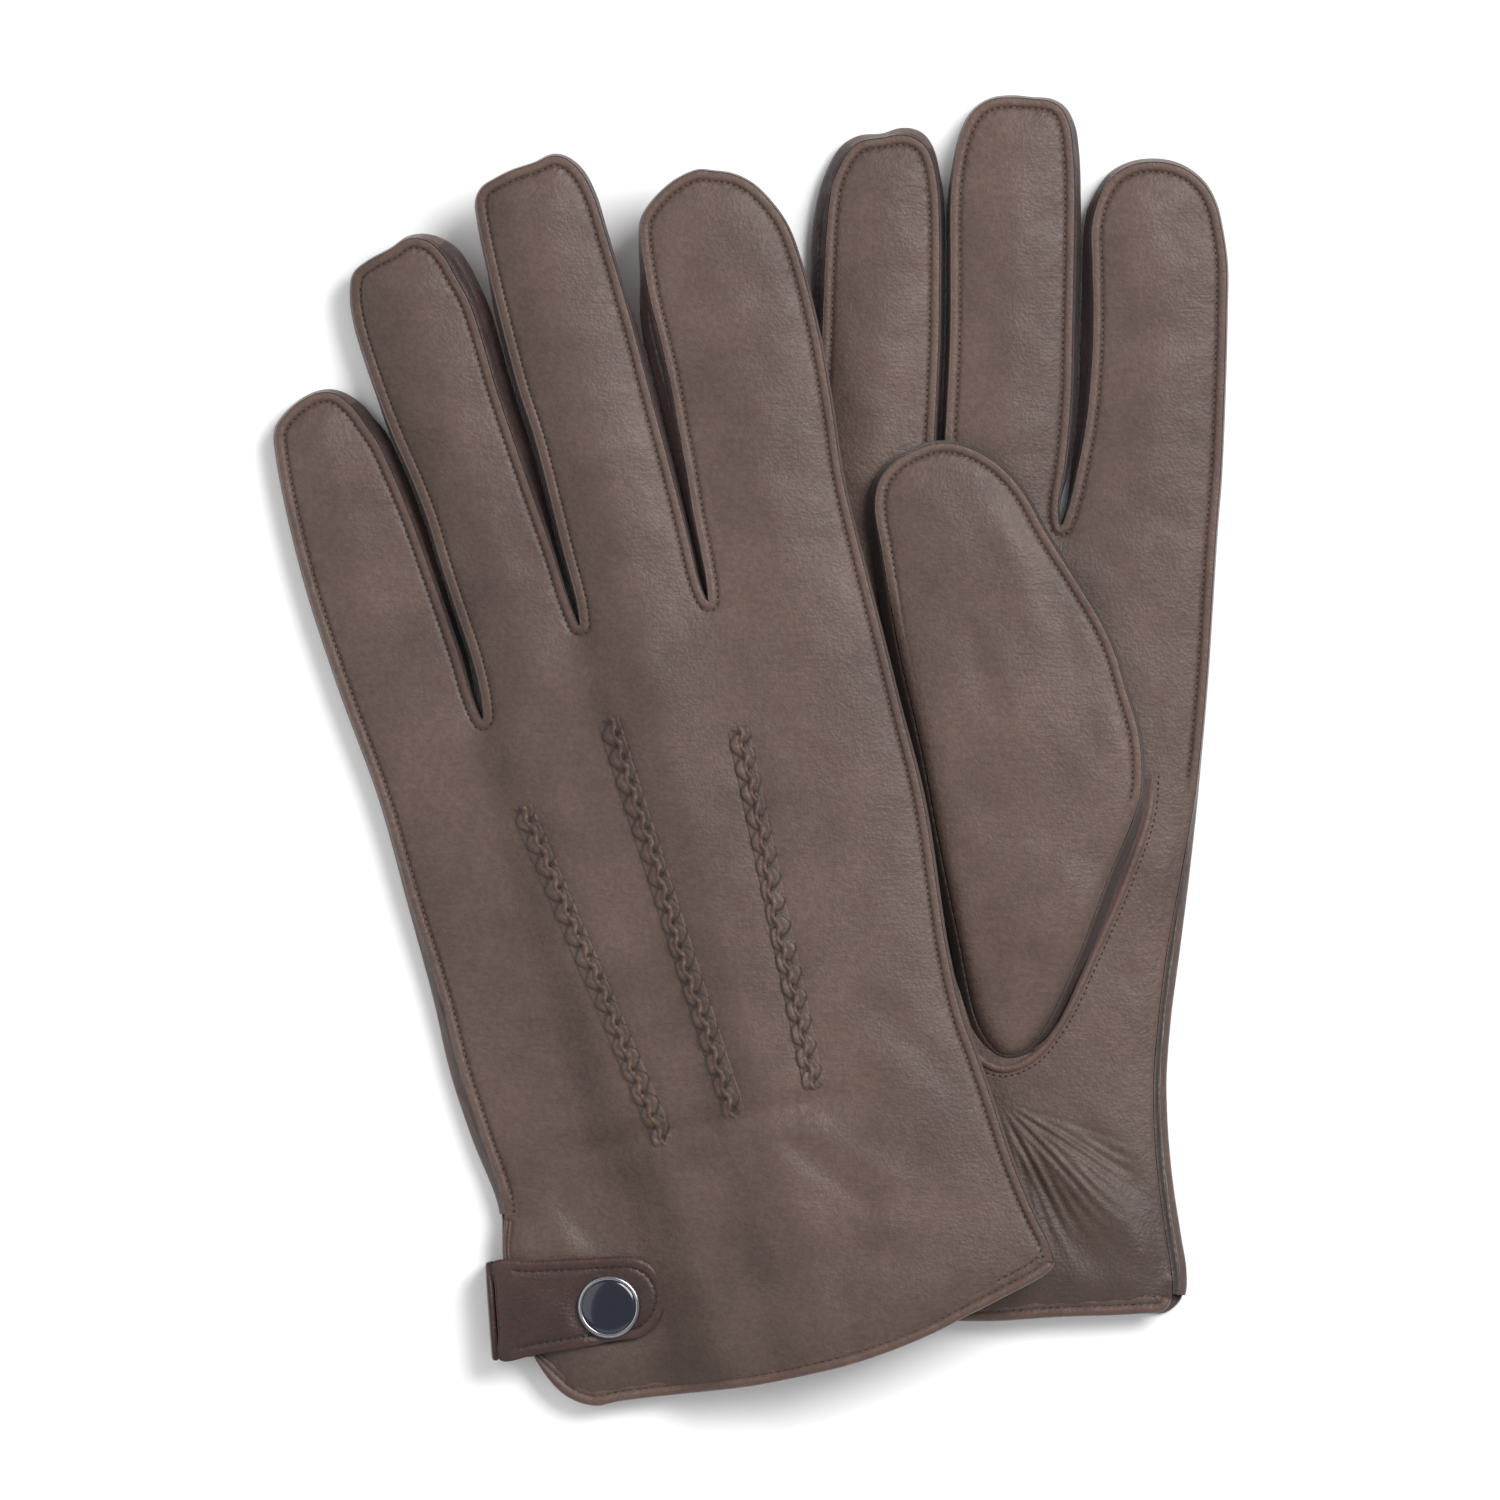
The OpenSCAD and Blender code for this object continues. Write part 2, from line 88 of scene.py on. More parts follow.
# ---- seam lines of the upper panel: x, y, how far the side stands beyond ----
# Clockwise from the hem at the little finger's side.
OUTLINE = {
    L: [
        (-39.5, -3.9, 0.4), (-44.8, -3.4, 0.4), (-50, 0.4, 0.4), (-53.6, 8.6, 0.4),
        (-54.8, 20, 0.4), (-54.2, 31, 0.4), (-51.4, 40, 1.2), (-52, 55, 2), (-52.6, 69, 2),
        (-52.3, 83, 1.6), (-52.9, 104, 0.8), (-53.1, 125, 0.5), (-55, 150, 0.5),
        (-55.8, 170, 0.5), (-55.3, 187, 0.5), (-54.4, 197, 0.5), (-53.4, 201.8, 0.5),
        (-50.8, 204.4, 0.5), (-45.6, 206.7, 0.5), (-41.8, 206.8, 0.6), (-39.2, 205.3, 1),
        (-36.8, 201.5, 1.8), (-35.7, 198.4, 2), (-34.2, 194, 2.2), (-33.1, 187.6, 2.1),
        (-31.9, 177.5, 1.8), (-31.2, 167.8, 1.5), (-30.6, 158.2, 1.4), (-30.1, 148, 1.2),
        (-29.9, 139, 0.7), (-29.1, 134.8, 0.25), (-28.1, 139, 0.4), (-27.7, 148, 0.4),
        (-28.2, 157.6, 0.4), (-28.6, 167, 0.4), (-28.8, 177, 0.4), (-29.8, 186.7, 0.4),
        (-30.6, 192, 0.4), (-31.3, 198, 0.4), (-32.1, 209.4, 0.4), (-32.2, 219, 0.4),
        (-31.2, 224.8, 0.4), (-29.6, 228, 0.4), (-26.5, 229.4, 0.4), (-21.3, 230.5, 0.4),
        (-17.2, 231.6, 0.6), (-13.7, 230.1, 1.5), (-11.4, 226.4, 3), (-10.2, 221.8, 3.5),
        (-8.9, 216, 3), (-8.5, 208, 2.7), (-8.4, 198, 2.7), (-7.9, 188, 2.4),
        (-7.2, 176, 1.9), (-6.4, 163.5, 0.8), (-6, 152.5, 0.4), (-5.3, 147.6, 0.25),
        (-4.5, 152, 0.35), (-4.3, 163, 0.4), (-3.9, 175, 0.4), (-3.7, 187, 0.4),
        (-4.1, 196, 0.4), (-3.9, 210, 0.4), (-3.5, 221, 0.4), (-2.8, 231, 0.4),
        (-2, 235.2, 0.4), (-0.2, 237.2, 0.4), (2.7, 238.1, 0.4), (6.6, 238.8, 0.4),
        (11, 239, 0.4), (15, 239.5, 0.5), (17.3, 238.3, 0.6), (19.4, 235.2, 0.7),
        (20.7, 230, 0.6), (21, 222, 0.5), (21.2, 208, 0.5), (21.2, 200, 0.5),
        (21, 190, 0.6), (20.8, 176, 0.8), (20.6, 165, 0.7), (20.3, 156, 0.4),
        (20.1, 149.5, 0.35), (20.7, 145.4, 0.25), (21.6, 149.5, 0.35), (22.3, 157, 0.8),
        (22.8, 164, 1.2), (23.6, 171, 1.7), (24.4, 180, 2.3), (25.3, 190, 2.7),
        (25.7, 199, 2.9), (25.9, 205.5, 2.3), (26.5, 212, 1.2), (27.5, 219, 0.5),
        (28.7, 222.4, 0.4), (30.6, 224.4, 0.4), (33.7, 226.5, 0.4), (37.6, 228.2, 0.4),
        (42.1, 228.8, 0.4), (44.7, 227.9, 0.4), (48.5, 226.2, 0.4), (51.7, 223.4, 0.4),
        (54.4, 218.7, 0.4), (56.2, 213.4, 0.4), (56.8, 206.6, 0.4), (56.8, 198.5, 0.4),
        (56.3, 188, 0.4), (55, 175.3, 0.4), (53.3, 161.5, 0.4), (52.7, 144, 0.4),
        (52.4, 130, 0.4), (52, 116, 0.4), (51.4, 95.5, 0.5), (47.8, 65.4, 0.5),
        (47.2, 52, 0.5), (47.8, 44, 0.5), (48.3, 35, 0.5), (48.9, 22, 0.5),
        (50.2, 11, 0.5), (51.6, 3, 0.4), (51.4, -0.6, 0.3), (48.9, -2.1, 0.3),
        (40.8, -4, 0.3), (31.4, -5.9, 0.3), (24.5, -7.3, 0.3), (16.4, -8.3, 0.3),
        (8.1, -8.8, 0.3), (0.3, -8.7, 0.3), (-11.6, -8, 0.3), (-26, -6, 0.3),
    ],
    R: [
        (-36, -5, 0.3), (-43.5, -3.6, 0.3), (-47, -0.6, 0.4), (-49, 8, 0.4), (-48.2, 24, 0.4),
        (-48, 38.7, 0.5), (-50, 54, 0.5), (-51.5, 68, 0.5), (-53, 104, 0.5), (-53.8, 133, 0.5),
        (-55, 160, 0.5), (-56, 190, 0.5), (-54.8, 200, 0.5), (-51, 205.6, 0.5),
        (-46.5, 207, 0.5), (-41, 205, 0.6), (-37.6, 199, 0.8), (-36, 190, 1.2),
        (-33.9, 170, 1.2), (-32.4, 150, 1), (-31.6, 140, 0.5), (-30.5, 135.4, 0.25),
        (-29.5, 140, 0.4), (-29.4, 150, 0.5), (-29.2, 170, 1), (-28.9, 185, 1.6),
        (-28.9, 198, 2.6), (-28.9, 207, 2.9), (-28.7, 214, 2.7), (-27.9, 220.8, 2.1),
        (-25.1, 227, 1.9), (-22.6, 229.2, 1.4), (-18, 230.2, 1), (-14.6, 230.9, 1.5),
        (-11.5, 230.2, 1.8), (-9, 228, 1.2), (-7, 221.5, 0.8), (-6.1, 212, 0.7),
        (-5.7, 201.2, 0.6), (-5.4, 190, 0.6), (-5.5, 175, 0.6), (-5.6, 160, 0.45),
        (-5.6, 152, 0.35), (-4.9, 147.6, 0.25), (-4.1, 152, 0.35), (-3.7, 160, 0.4),
        (-3.4, 171, 0.4), (-3.2, 191, 0.4), (-3.7, 206, 0.4), (-4.1, 219, 0.4),
        (-3.5, 226.6, 0.4), (-2.1, 232.7, 0.4), (0.2, 236.7, 0.4), (3.5, 238.7, 0.5),
        (7.4, 239.2, 0.6), (11.3, 239.1, 0.5), (15.2, 238.7, 0.7), (17.5, 237.2, 0.9),
        (19.2, 233.8, 1.1), (20, 229.2, 1.2), (20.6, 222.5, 1.2), (20.9, 214, 1.1),
        (21.1, 206, 1), (21.3, 193, 0.8), (21.5, 179, 0.8), (20.8, 166, 0.6),
        (19.8, 157.5, 0.35), (20.4, 153.6, 0.25), (21.7, 157, 0.5), (23.4, 165.5, 1.1),
        (24.8, 175.5, 1.5), (25.4, 191, 2), (25.2, 198, 1.8), (24.9, 203, 1.7),
        (24.6, 208, 1.5), (24.3, 213, 1.3), (24.8, 217, 1.4), (26, 220.8, 1.2),
        (28.2, 224.3, 1), (31.6, 226.5, 0.9), (35.5, 227.4, 0.8), (39.4, 227.2, 0.8),
        (42.8, 226.1, 0.7), (46.3, 223.5, 0.6), (48.8, 219.6, 0.5), (50.4, 214.2, 0.4),
        (51.6, 207.3, 0.4), (51.9, 198, 0.4), (52.1, 183, 0.4), (52, 164, 0.4),
        (51.6, 154.7, 0.4), (51.2, 139, 0.4), (50.8, 124, 0.4), (49.5, 102, 0.6),
        (47.4, 86, 1.6), (45, 69.9, 2.6), (43.9, 57, 2.5), (43.3, 44.4, 2.6),
        (43.5, 38, 2.7), (44.3, 29, 2.8), (45.5, 20.5, 2.9), (47, 12.3, 3),
        (48.4, 5, 3), (48.6, 0.6, 2.6), (47.2, -2.4, 1.2), (41.2, -3.4, 0.4),
        (25.8, -4.6, 0.4), (13.2, -5.9, 0.4), (4.4, -6.2, 0.3), (-16, -6.2, 0.3),
    ],
}
# the folded thumb: x, y, side, and 1 where its edge is a beaded seam
THUMB = [
    (12.5, 47.6, 0.6, 0), (8, 52.6, 1.3, 0), (2.5, 72.4, 1.9, 0), (-2.1, 91.3, 2, 0),
    (-6.3, 109.3, 2, 0), (-11.4, 128.3, 2, 0.2), (-15.2, 147, 1.9, 0.8), (-17, 156.5, 1.4, 1),
    (-16.2, 161.5, 1, 1), (-13.6, 165, 0.8, 1), (-9.8, 167.6, 0.6, 1), (-5.4, 169.3, 0.5, 1),
    (-0.6, 169.2, 0.5, 1), (4.3, 167.4, 0.5, 1), (8.9, 164.2, 0.5, 1), (13.2, 159.3, 0.5, 1),
    (16.7, 153.4, 0.5, 1), (20.4, 147.9, 0.5, 1), (25.2, 140.9, 0.5, 1), (29.3, 134.5, 0.5, 1),
    (32.2, 128.6, 0.5, 1), (34.4, 122, 0.5, 1), (37.3, 113.6, 0.6, 1), (38.3, 107.5, 0.6, 1),
    (38.4, 101, 0.8, 0.8), (37, 95.5, 1.4, 0.2), (32.6, 83.9, 2.2, 0), (26.6, 66.4, 2.2, 0),
    (20.2, 52, 1.6, 0), (16.5, 48.2, 0.9, 0),
]
THUMB_MOUTH = [(17, 58), (33.5, 92), (25, 97), (9, 64)]
PALM_MOUTH = {L: [(14, 54), (36, 90), (30, 97), (6, 60)],
              R: [(16, 56), (33, 96), (25, 101), (8, 62)]}
POINTS = [((-26.5, 116.5), (-16.8, 43.6)), ((-5, 128.5), (-1.8, 45.2)), ((19.7, 119.7), (15, 46.1))]
STRAP_AT = {L: (-58.6, 20.6), R: (-52, 20.6)}
STRAP_TURN = {L: -11.5, R: -8}
# the strap follows the photograph: a little longer and wider at its fold than the CAD
# strap, with its snap 2.5 mm nearer the fold and 1.1 mm nearer the hem
STRAP_WIDE, STRAP_LONG, SNAP_AT, SNAP_SIDE = 16.6, 34.6, 22.7, -1.1
SNAP_GAP, STRAP_THICK, CAP_D, CAP_HIGH = 1.8, 1.2, 12.6, 1.1
STRAP_LIFT = SNAP_GAP + STRAP_THICK + CAP_HIGH


# ---- small helpers -----------------------------------------------------------
def smooth(t):
    t = np.clip(t, 0, 1)
    return t * t * (3 - 2 * t)


def through_knots(knots, x):
    """Smooth rising or falling run through a few (place, height) knots."""
    k = np.array(knots, float)
    i = np.clip(np.searchsorted(k[:, 0], x) - 1, 0, len(k) - 2)
    slope = np.diff(k[:, 1]) / np.diff(k[:, 0])
    m = np.zeros(len(k))
    both = slope[:-1] * slope[1:] > 0
    m[1:-1][both] = 2 * slope[:-1][both] * slope[1:][both] / (slope[:-1] + slope[1:])[both]
    h = k[i + 1, 0] - k[i, 0]
    t = np.clip((x - k[i, 0]) / h, 0, 1)
    a, b = k[i, 1], k[i + 1, 1]
    return (
        a * (1 + 2 * t) * (1 - t) ** 2 + h * m[i] * t * (1 - t) ** 2
        + b * t * t * (3 - 2 * t) + h * m[i + 1] * t * t * (t - 1)
    )


def ripple(p, size, seed, stretch=(1, 1)):
    """Soft random waves, about `size` mm across, between -1 and 1."""
    rng = np.random.default_rng(seed)
    q = p[:, :2] / (np.array(stretch) * size)
    total = np.zeros(len(p))
    for _ in range(9):
        a, f, ph = rng.uniform(0, 2 * np.pi), rng.uniform(0.6, 1.6), rng.uniform(0, 2 * np.pi)
        total += np.cos(2 * np.pi * f * (q[:, 0] * np.cos(a) + q[:, 1] * np.sin(a)) + ph)
    return total / 4.2


def curve(marks, step, closed=True):
    """Centripetal run through the marks, resampled to even steps along x and y."""
    m = np.array(marks, float)
    n = len(m)
    out = []
    for i in range(n if closed else n - 1):
        if closed:
            p0, p1, p2, p3 = m[i - 1], m[i], m[(i + 1) % n], m[(i + 2) % n]
        else:
            p1, p2 = m[i], m[i + 1]
            p0 = m[i - 1] if i else 2 * p1 - p2
            p3 = m[i + 2] if i + 2 < n else 2 * p2 - p1
        gap = [max(np.hypot(*(b - a)[:2]), 1e-3) ** 0.5 for a, b in ((p0, p1), (p1, p2), (p2, p3))]
        t0, t1 = 0.0, gap[0]
        t2, t3 = t1 + gap[1], t1 + gap[1] + gap[2]
        t = np.linspace(t1, t2, 16, endpoint=False)[:, None]
        a1 = (t1 - t) / (t1 - t0) * p0 + (t - t0) / (t1 - t0) * p1
        a2 = (t2 - t) / (t2 - t1) * p1 + (t - t1) / (t2 - t1) * p2
        a3 = (t3 - t) / (t3 - t2) * p2 + (t - t2) / (t3 - t2) * p3
        b1 = (t2 - t) / (t2 - t0) * a1 + (t - t0) / (t2 - t0) * a2
        b2 = (t3 - t) / (t3 - t1) * a2 + (t - t1) / (t3 - t1) * a3
        out.append((t2 - t) / (t2 - t1) * b1 + (t - t1) / (t2 - t1) * b2)
    out.append(m[:1] if closed else m[-1:])
    fine = np.vstack(out)
    s = np.concatenate([[0], np.cumsum(np.hypot(*np.diff(fine[:, :2], axis=0).T))])
    count = max(int(round(s[-1] / step)), 4)
    at = np.linspace(0, s[-1], count, endpoint=not closed)
    return np.stack([np.interp(at, s, fine[:, c]) for c in range(m.shape[1])], axis=1)


def inward(p, closed=True):
    """Unit normals to the right of travel: into a clockwise outline."""
    if closed:
        d = np.roll(p, -1, axis=0) - np.roll(p, 1, axis=0)
    else:
        d = np.gradient(p, axis=0)
    d = d[:, :2] / np.maximum(np.hypot(d[:, 0], d[:, 1]), 1e-9)[:, None]
    return np.stack([d[:, 1], -d[:, 0]], axis=1)


def inside(poly, p):
    """Which points lie in the polygon."""
    hit = np.zeros(len(p), bool)
    for (x0, y0), (x1, y1) in zip(poly, np.roll(poly, -1, axis=0)):
        span = (y0 > p[:, 1]) != (y1 > p[:, 1])
        if span.any():
            x = x0 + (p[span, 1] - y0) * (x1 - x0) / (y1 - y0)
            hit[span] ^= p[span, 0] < x
    return hit


def tree_of(p):
    tree = KDTree(len(p))
    for i, q in enumerate(p):
        tree.insert((q[0], q[1], 0), i)
    tree.balance()
    return tree


def nearest(tree, p):
    """Index of the nearest point of the tree, and its distance, for each p."""
    found = [tree.find((q[0], q[1], 0)) for q in p]
    return np.array([f[1] for f in found]), np.array([f[2] for f in found])


def turn(p, deg):
    c, s = np.cos(np.radians(deg)), np.sin(np.radians(deg))
    q = np.array(p, float)
    x, y = q[..., 0].copy(), q[..., 1].copy()
    q[..., 0], q[..., 1] = c * x - s * y, s * x + c * y
    return q


def on_table(p, glove):
    """Glove frame in mm to row frame in metres."""
    origin, deg = PLACE[glove]
    q = turn(p, deg)
    q[..., 0] += origin[0]
    q[..., 1] += origin[1]
    return q * MM


def finger_frame(p, glove, i):
    """Points in a finger's own frame: across and along from its base."""
    return turn(np.array(p, float)[:, :2] - BASE[glove][i], -LEAN[glove][i])


def vertex_normals(v, faces):
    n = np.zeros_like(v)
    for size in (3, 4):
        f = np.array([q for q in faces if len(q) == size])
        if len(f):
            e = np.cross(v[f[:, 2]] - v[f[:, 0]], v[f[:, -1]] - v[f[:, 1]])
            if size == 3:
                e = np.cross(v[f[:, 1]] - v[f[:, 0]], v[f[:, 2]] - v[f[:, 0]])
            for k in range(size):
                np.add.at(n, f[:, k], e)
    return n / np.maximum(np.linalg.norm(n, axis=1), 1e-12)[:, None]


def piece(name, v, faces, material, normals=None, tone=None):
    """A mesh object in metres, smooth shaded."""
    mesh = bpy.data.meshes.new(name)
    mesh.from_pydata(np.asarray(v).tolist(), [], [list(map(int, f)) for f in faces])
    mesh.polygons.foreach_set("use_smooth", np.ones(len(mesh.polygons), bool))
    layer = mesh.attributes.new("tone", "FLOAT", "POINT")
    if tone is not None:
        layer.data.foreach_set("value", np.asarray(tone, np.float32))
    mesh.materials.append(material)
    mesh.update()
    if normals is not None:
        mesh.normals_split_custom_set_from_vertices(np.asarray(normals).tolist())
    o = bpy.data.objects.new(name, mesh)
    bpy.context.scene.collection.objects.link(o)
    return o


def part_of(v, faces, normals, tone, keep):
    """The kept faces with only the points they use."""
    f = [q for q, k in zip(faces, keep) if k]
    used = np.unique(np.concatenate([np.array(q) for q in f]))
    index = np.full(len(v), -1)
    index[used] = np.arange(len(used))
    return v[used], [index[np.array(q)] for q in f], normals[used], tone[used]


# ---- materials -----------------------------------------------------------------
class Paint:
    """A material's nodes, with a short way to add and join them."""

    def __init__(self, name):
        self.material = bpy.data.materials.new(name)
        self.material.use_nodes = True
        self.tree = self.material.node_tree
        self.at = self.add("TexCoord").outputs["Object"]

    def put(self, node, inputs):
        """Each input takes a socket to link or a value to set."""
        for key, value in inputs.items():
            if isinstance(value, bpy.types.NodeSocket):
                self.tree.links.new(value, node.inputs[key])
            else:
                node.inputs[key].default_value = value
        return node

    def add(self, kind, inputs={}, **settings):
        node = self.tree.nodes.new("ShaderNode" + kind)
        for key, value in settings.items():
            setattr(node, key, value)
        return self.put(node, inputs)

    def noise(self, scale, detail=3.0, rough=0.5, stretch=None):
        at = self.at
        if stretch:
            turned = {"Vector": at, "Scale": stretch, "Rotation": (0, 0, 0.25)}
            at = self.add("Mapping", turned).outputs["Vector"]
        made = {"Vector": at, "Scale": scale, "Detail": detail, "Roughness": rough}
        return self.add("TexNoise", made).outputs["Fac"]

    def ramp(self, source, *stops):
        node = self.add("ValToRGB", {"Fac": source})
        while len(node.color_ramp.elements) < len(stops):
            node.color_ramp.elements.new(0.5)
        for e, (place, colour) in zip(node.color_ramp.elements, stops):
            e.position, e.color = place, (*colour, 1)
        return node.outputs["Color"]

    def shades(self, source, colour, dark):
        return self.ramp(source, (0, [c * dark for c in colour]), (1, colour))

    def mix(self, a, b, factor, mode="MIX"):
        a, b = ((*c, 1) if isinstance(c, tuple) else c for c in (a, b))
        node = self.add("Mix", data_type="RGBA", blend_type=mode)
        return self.put(node, {"Factor": factor, 6: a, 7: b}).outputs[2]

    def times(self, a, b):
        return self.add("Math", {0: a, 1: b}, operation="MULTIPLY", use_clamp=True).outputs[0]

    def between(self, source, low, high):
        made = {"Value": source, "To Min": low, "To Max": high}
        return self.add("MapRange", made).outputs[0]

    def finish(self, colour, bumps, inputs):
        """Colour, bumps (height, distance, strength) and the rest of the shader's inputs."""
        shader = self.tree.nodes["Principled BSDF"]
        for height, distance, strength in bumps:
            made = {"Height": height, "Distance": distance, "Strength": strength}
            if shader.inputs["Normal"].is_linked:
                made["Normal"] = shader.inputs["Normal"].links[0].from_socket
            bump = self.add("Bump", made).outputs["Normal"]
            self.put(shader, {"Normal": bump})
        self.put(shader, {"Base Color": colour, **inputs})
        return self.material


def leather(name, tones, rough, grain=1.0, micro=1.0):
    """Aniline leather: blotchy colour, pebble grain, fine creases, seams rubbed lighter on their
    crests, and painted shade wherever the tone attribute is below zero.
    """
    paint = Paint(name)
    dark, mid, light = tones
    white, grey = (1, 1, 1), (0.35, 0.35, 0.35)
    colour = paint.ramp(paint.noise(42, 4, 0.6), (0.36, dark), (0.5, mid), (0.66, light))
    specks = paint.ramp(paint.noise(900, 2), (0.35, (0.72, 0.7, 0.7)), (0.65, (1.16, 1.13, 1.1)))
    colour = paint.mix(colour, specks, 0.55, "MULTIPLY")
    # seams: rubbed lighter on the crests; painted shade, darker, in the stitch groove and wherever
    # else the tone is below zero
    tone = paint.add("Attribute", attribute_name="tone").outputs["Fac"]
    rub = paint.ramp(paint.noise(160, 2, 0.6), (0.35, grey), (0.65, white))
    crest = paint.times(paint.times(tone, 0.75), rub)
    colour = paint.mix(colour, (mid[0] * 1.5, mid[1] * 1.22, mid[2]), crest)
    # painted shade: a tone below zero mixes the colour toward a deep brown
    colour = paint.mix(colour, tuple(c * 0.28 for c in dark), paint.times(tone, -0.8))
    # grain: pebbles about half a millimetre across, and fine creases across the hand
    jitter = paint.add("TexNoise", {"Vector": paint.at, "Scale": 600}).outputs["Color"]
    jitter = paint.add("VectorMath", {0: jitter, "Scale": 0.0011}, operation="SCALE").outputs[0]
    warp = paint.add("VectorMath", {0: paint.at, 1: jitter}, operation="ADD").outputs[0]
    pebble = paint.add("TexVoronoi", {"Vector": warp, "Scale": 1500}, feature="F1")
    creases = paint.noise(420, 3, 0.6, (0.3, 2.6, 1))
    patches = paint.ramp(paint.noise(60, 2), (0.4, (0.25, 0.25, 0.25)), (0.62, white))
    bumps = [
        (pebble.outputs["Distance"], 0.00012 * grain, 0.6),
        (paint.times(creases, patches), 0.00024 * micro, 0.5),
        (paint.noise(260, 3, 0.6), 0.00022, 0.35),
    ]
    return paint.finish(colour, bumps, {
        "Roughness": paint.between(paint.noise(300, 3, 0.6), rough - 0.1, rough + 0.14),
        "Specular IOR Level": 0.4, "Sheen Weight": 0.12, "Sheen Roughness": 0.45,
    })


def thread(name, colour):
    """Twisted sewing thread."""
    paint = Paint(name)
    twist = {"Vector": paint.at, "Scale": 1200, "Distortion": 2.5}
    twist = paint.add("TexWave", twist).outputs["Fac"]
    return paint.finish(paint.shades(twist, colour, 0.5), [(twist, 0.00005, 1)],
                        {"Roughness": 0.55})


def knit(name, colour):
    """Fine brushed jersey: rows of small loops and a soft nap."""
    paint = Paint(name)
    rows = []
    for direction, scale in (("X", 260), ("Y", 180)):
        wave = {"Vector": paint.at, "Scale": scale, "Distortion": 1.2, "Detail": 1.0}
        rows.append(paint.add("TexWave", wave, bands_direction=direction).outputs["Fac"])
    loops = paint.times(*rows)
    return paint.finish(paint.shades(loops, colour, 0.45), [(loops, 0.0002, 1)],
                        {"Roughness": 0.9, "Sheen Weight": 0.5})


def metal(name, colour, rough, metallic=1.0, coat=0.0):
    """Pressed metal with a faint brushed and handled surface."""
    paint = Paint(name)
    marks = paint.noise(700, 4)
    return paint.finish(paint.shades(marks, colour, 0.8), [(marks, 0.00001, 0.3)], {
        "Roughness": paint.between(marks, rough * 0.7, rough * 1.4),
        "Metallic": metallic, "Coat Weight": coat, "Coat Roughness": 0.04,
    })


BROWN = leather(
    "brown_leather",
    ((0.072, 0.043, 0.036), (0.086, 0.053, 0.042), (0.101, 0.064, 0.051)), 0.5)
# painted shade: the fourchettes and the thumb gusset take a much darker copy of the brown leather,
# for the shade in the gaps between the fingers and beside the thumb
SHADED_SIDE = leather(
    "fourchette_leather",
    ((0.03, 0.017, 0.019), (0.045, 0.026, 0.025), (0.07, 0.036, 0.03)), 0.52)
STRAP = leather(
    "strap_leather",
    ((0.03, 0.013, 0.011), (0.038, 0.0165, 0.0135), (0.05, 0.022, 0.0175)), 0.38, 0.7, 0.5)
THREAD = thread("brown_thread", (0.03, 0.018, 0.016))
KNIT = knit("knit_lining", (0.11, 0.085, 0.07))
BAND = knit("elastic_band", (0.05, 0.045, 0.04))
CAP = metal("black_enamel", (0.008, 0.011, 0.022), 0.12, metallic=0.0, coat=0.25)
CHROME = metal("chrome", (0.3, 0.3, 0.32), 0.2)
BRASS = metal("snap_metal", (0.52, 0.5, 0.46), 0.3)


# ---- how the gloves lie ----------------------------------------------------------
LEFT_LAY = [(-64, 0), (-43, 0), (-33, 1.4), (-24, 6.3), (-18, 8), (-8, 9), (-1, 12.2),
            (6, LEFT_LOW),
            (64, LEFT_LOW)]
LEFT_CUFF_LAY = [(-64, 0), (-33.5, 0), (-28, 0.8), (-23.5, 3.5), (-17, 7.5), (-8, 9), (-1, 12.2),
                 (6, LEFT_LOW), (64, LEFT_LOW)]


def lay(glove, p):
    """Height of the underside of a glove."""
    if glove == L:
        cuff = smooth((50 - p[:, 1]) / 16)
        x = p[:, 0]
        return through_knots(LEFT_LAY, x) * (1 - cuff) + through_knots(LEFT_CUFF_LAY, x) * cuff
    flat = RIDGE * smooth((31 - p[:, 0]) / 9)
    over_strap = smooth((50 - p[:, 1]) / 9) * smooth((-8 - p[:, 0]) / 9)
    return flat + (STRAP_LIFT - RIDGE) * over_strap


def top_level(glove, p):
    return lay(L, p) + THICK if glove == L else np.full(len(p), RIGHT_TOP)


def along_line(p, a, b, width, fade=6.0):
    """1 on a straight crease from a to b, falling off to its sides and past its ends."""
    a, b = np.array(a, float), np.array(b, float)
    d = b - a
    t = np.clip(((p[:, :2] - a) @ d) / (d @ d), 0, 1)
    off = np.hypot(*(p[:, :2] - a - t[:, None] * d).T)
    taper = smooth(np.minimum(t, 1 - t) * np.hypot(*d) / fade)
    return np.exp(-((off / width) ** 2)) * taper


def creases_of_back(p):
    """Soft folds on the left glove's back and cuff."""
    x, y = p[:, 0], p[:, 1]
    z = 0.28 * ripple(p, 34, 3, (1, 1.5)) + 0.1 * ripple(p, 11, 4, (1.4, 1))
    waist = np.exp(-(((y - 44.5 + 0.06 * x) / 2.6) ** 2))
    waist = waist * smooth((x + 40) / 10) * smooth((34 - x) / 26)
    z -= 1.0 * waist
    gather = np.exp(-np.abs(y - 44) / 8) * smooth((x + 38) / 8) * smooth((26 - x) / 16)
    z += 0.24 * gather * np.cos(2 * np.pi * (x + 1.6 * np.sin(y / 5)) / 3.1)
    for a, b, width, deep in (
        ((4, 41), (22, 17), 1.5, 0.5), ((9, 43), (28, 22), 1.8, -0.45),
        ((-15, 43), (-9, 32), 1.2, 0.3),
        ((-41, 39), (-35, 25), 1.6, 0.5), ((-45, 41), (-39, 22), 2.2, -0.4),
        ((-30, 33), (-6, 41), 2.4, 0.4),
        ((2, 14), (26, 8), 2.4, 0.35), ((30, 62), (44, 34), 2.4, 0.35),
        ((34, 52), (18, 12), 3.5, -0.4),
        ((-46, 64), (-47, 92), 1.8, 0.35), ((38, 132), (22, 146), 2.4, 0.25),
    ):
        z -= deep * along_line(p, a, b, 1.35 * width)
    return z


FAN = ((22, 24), 21, 0.55)  # middle, reach and point spacing of the finely meshed patch


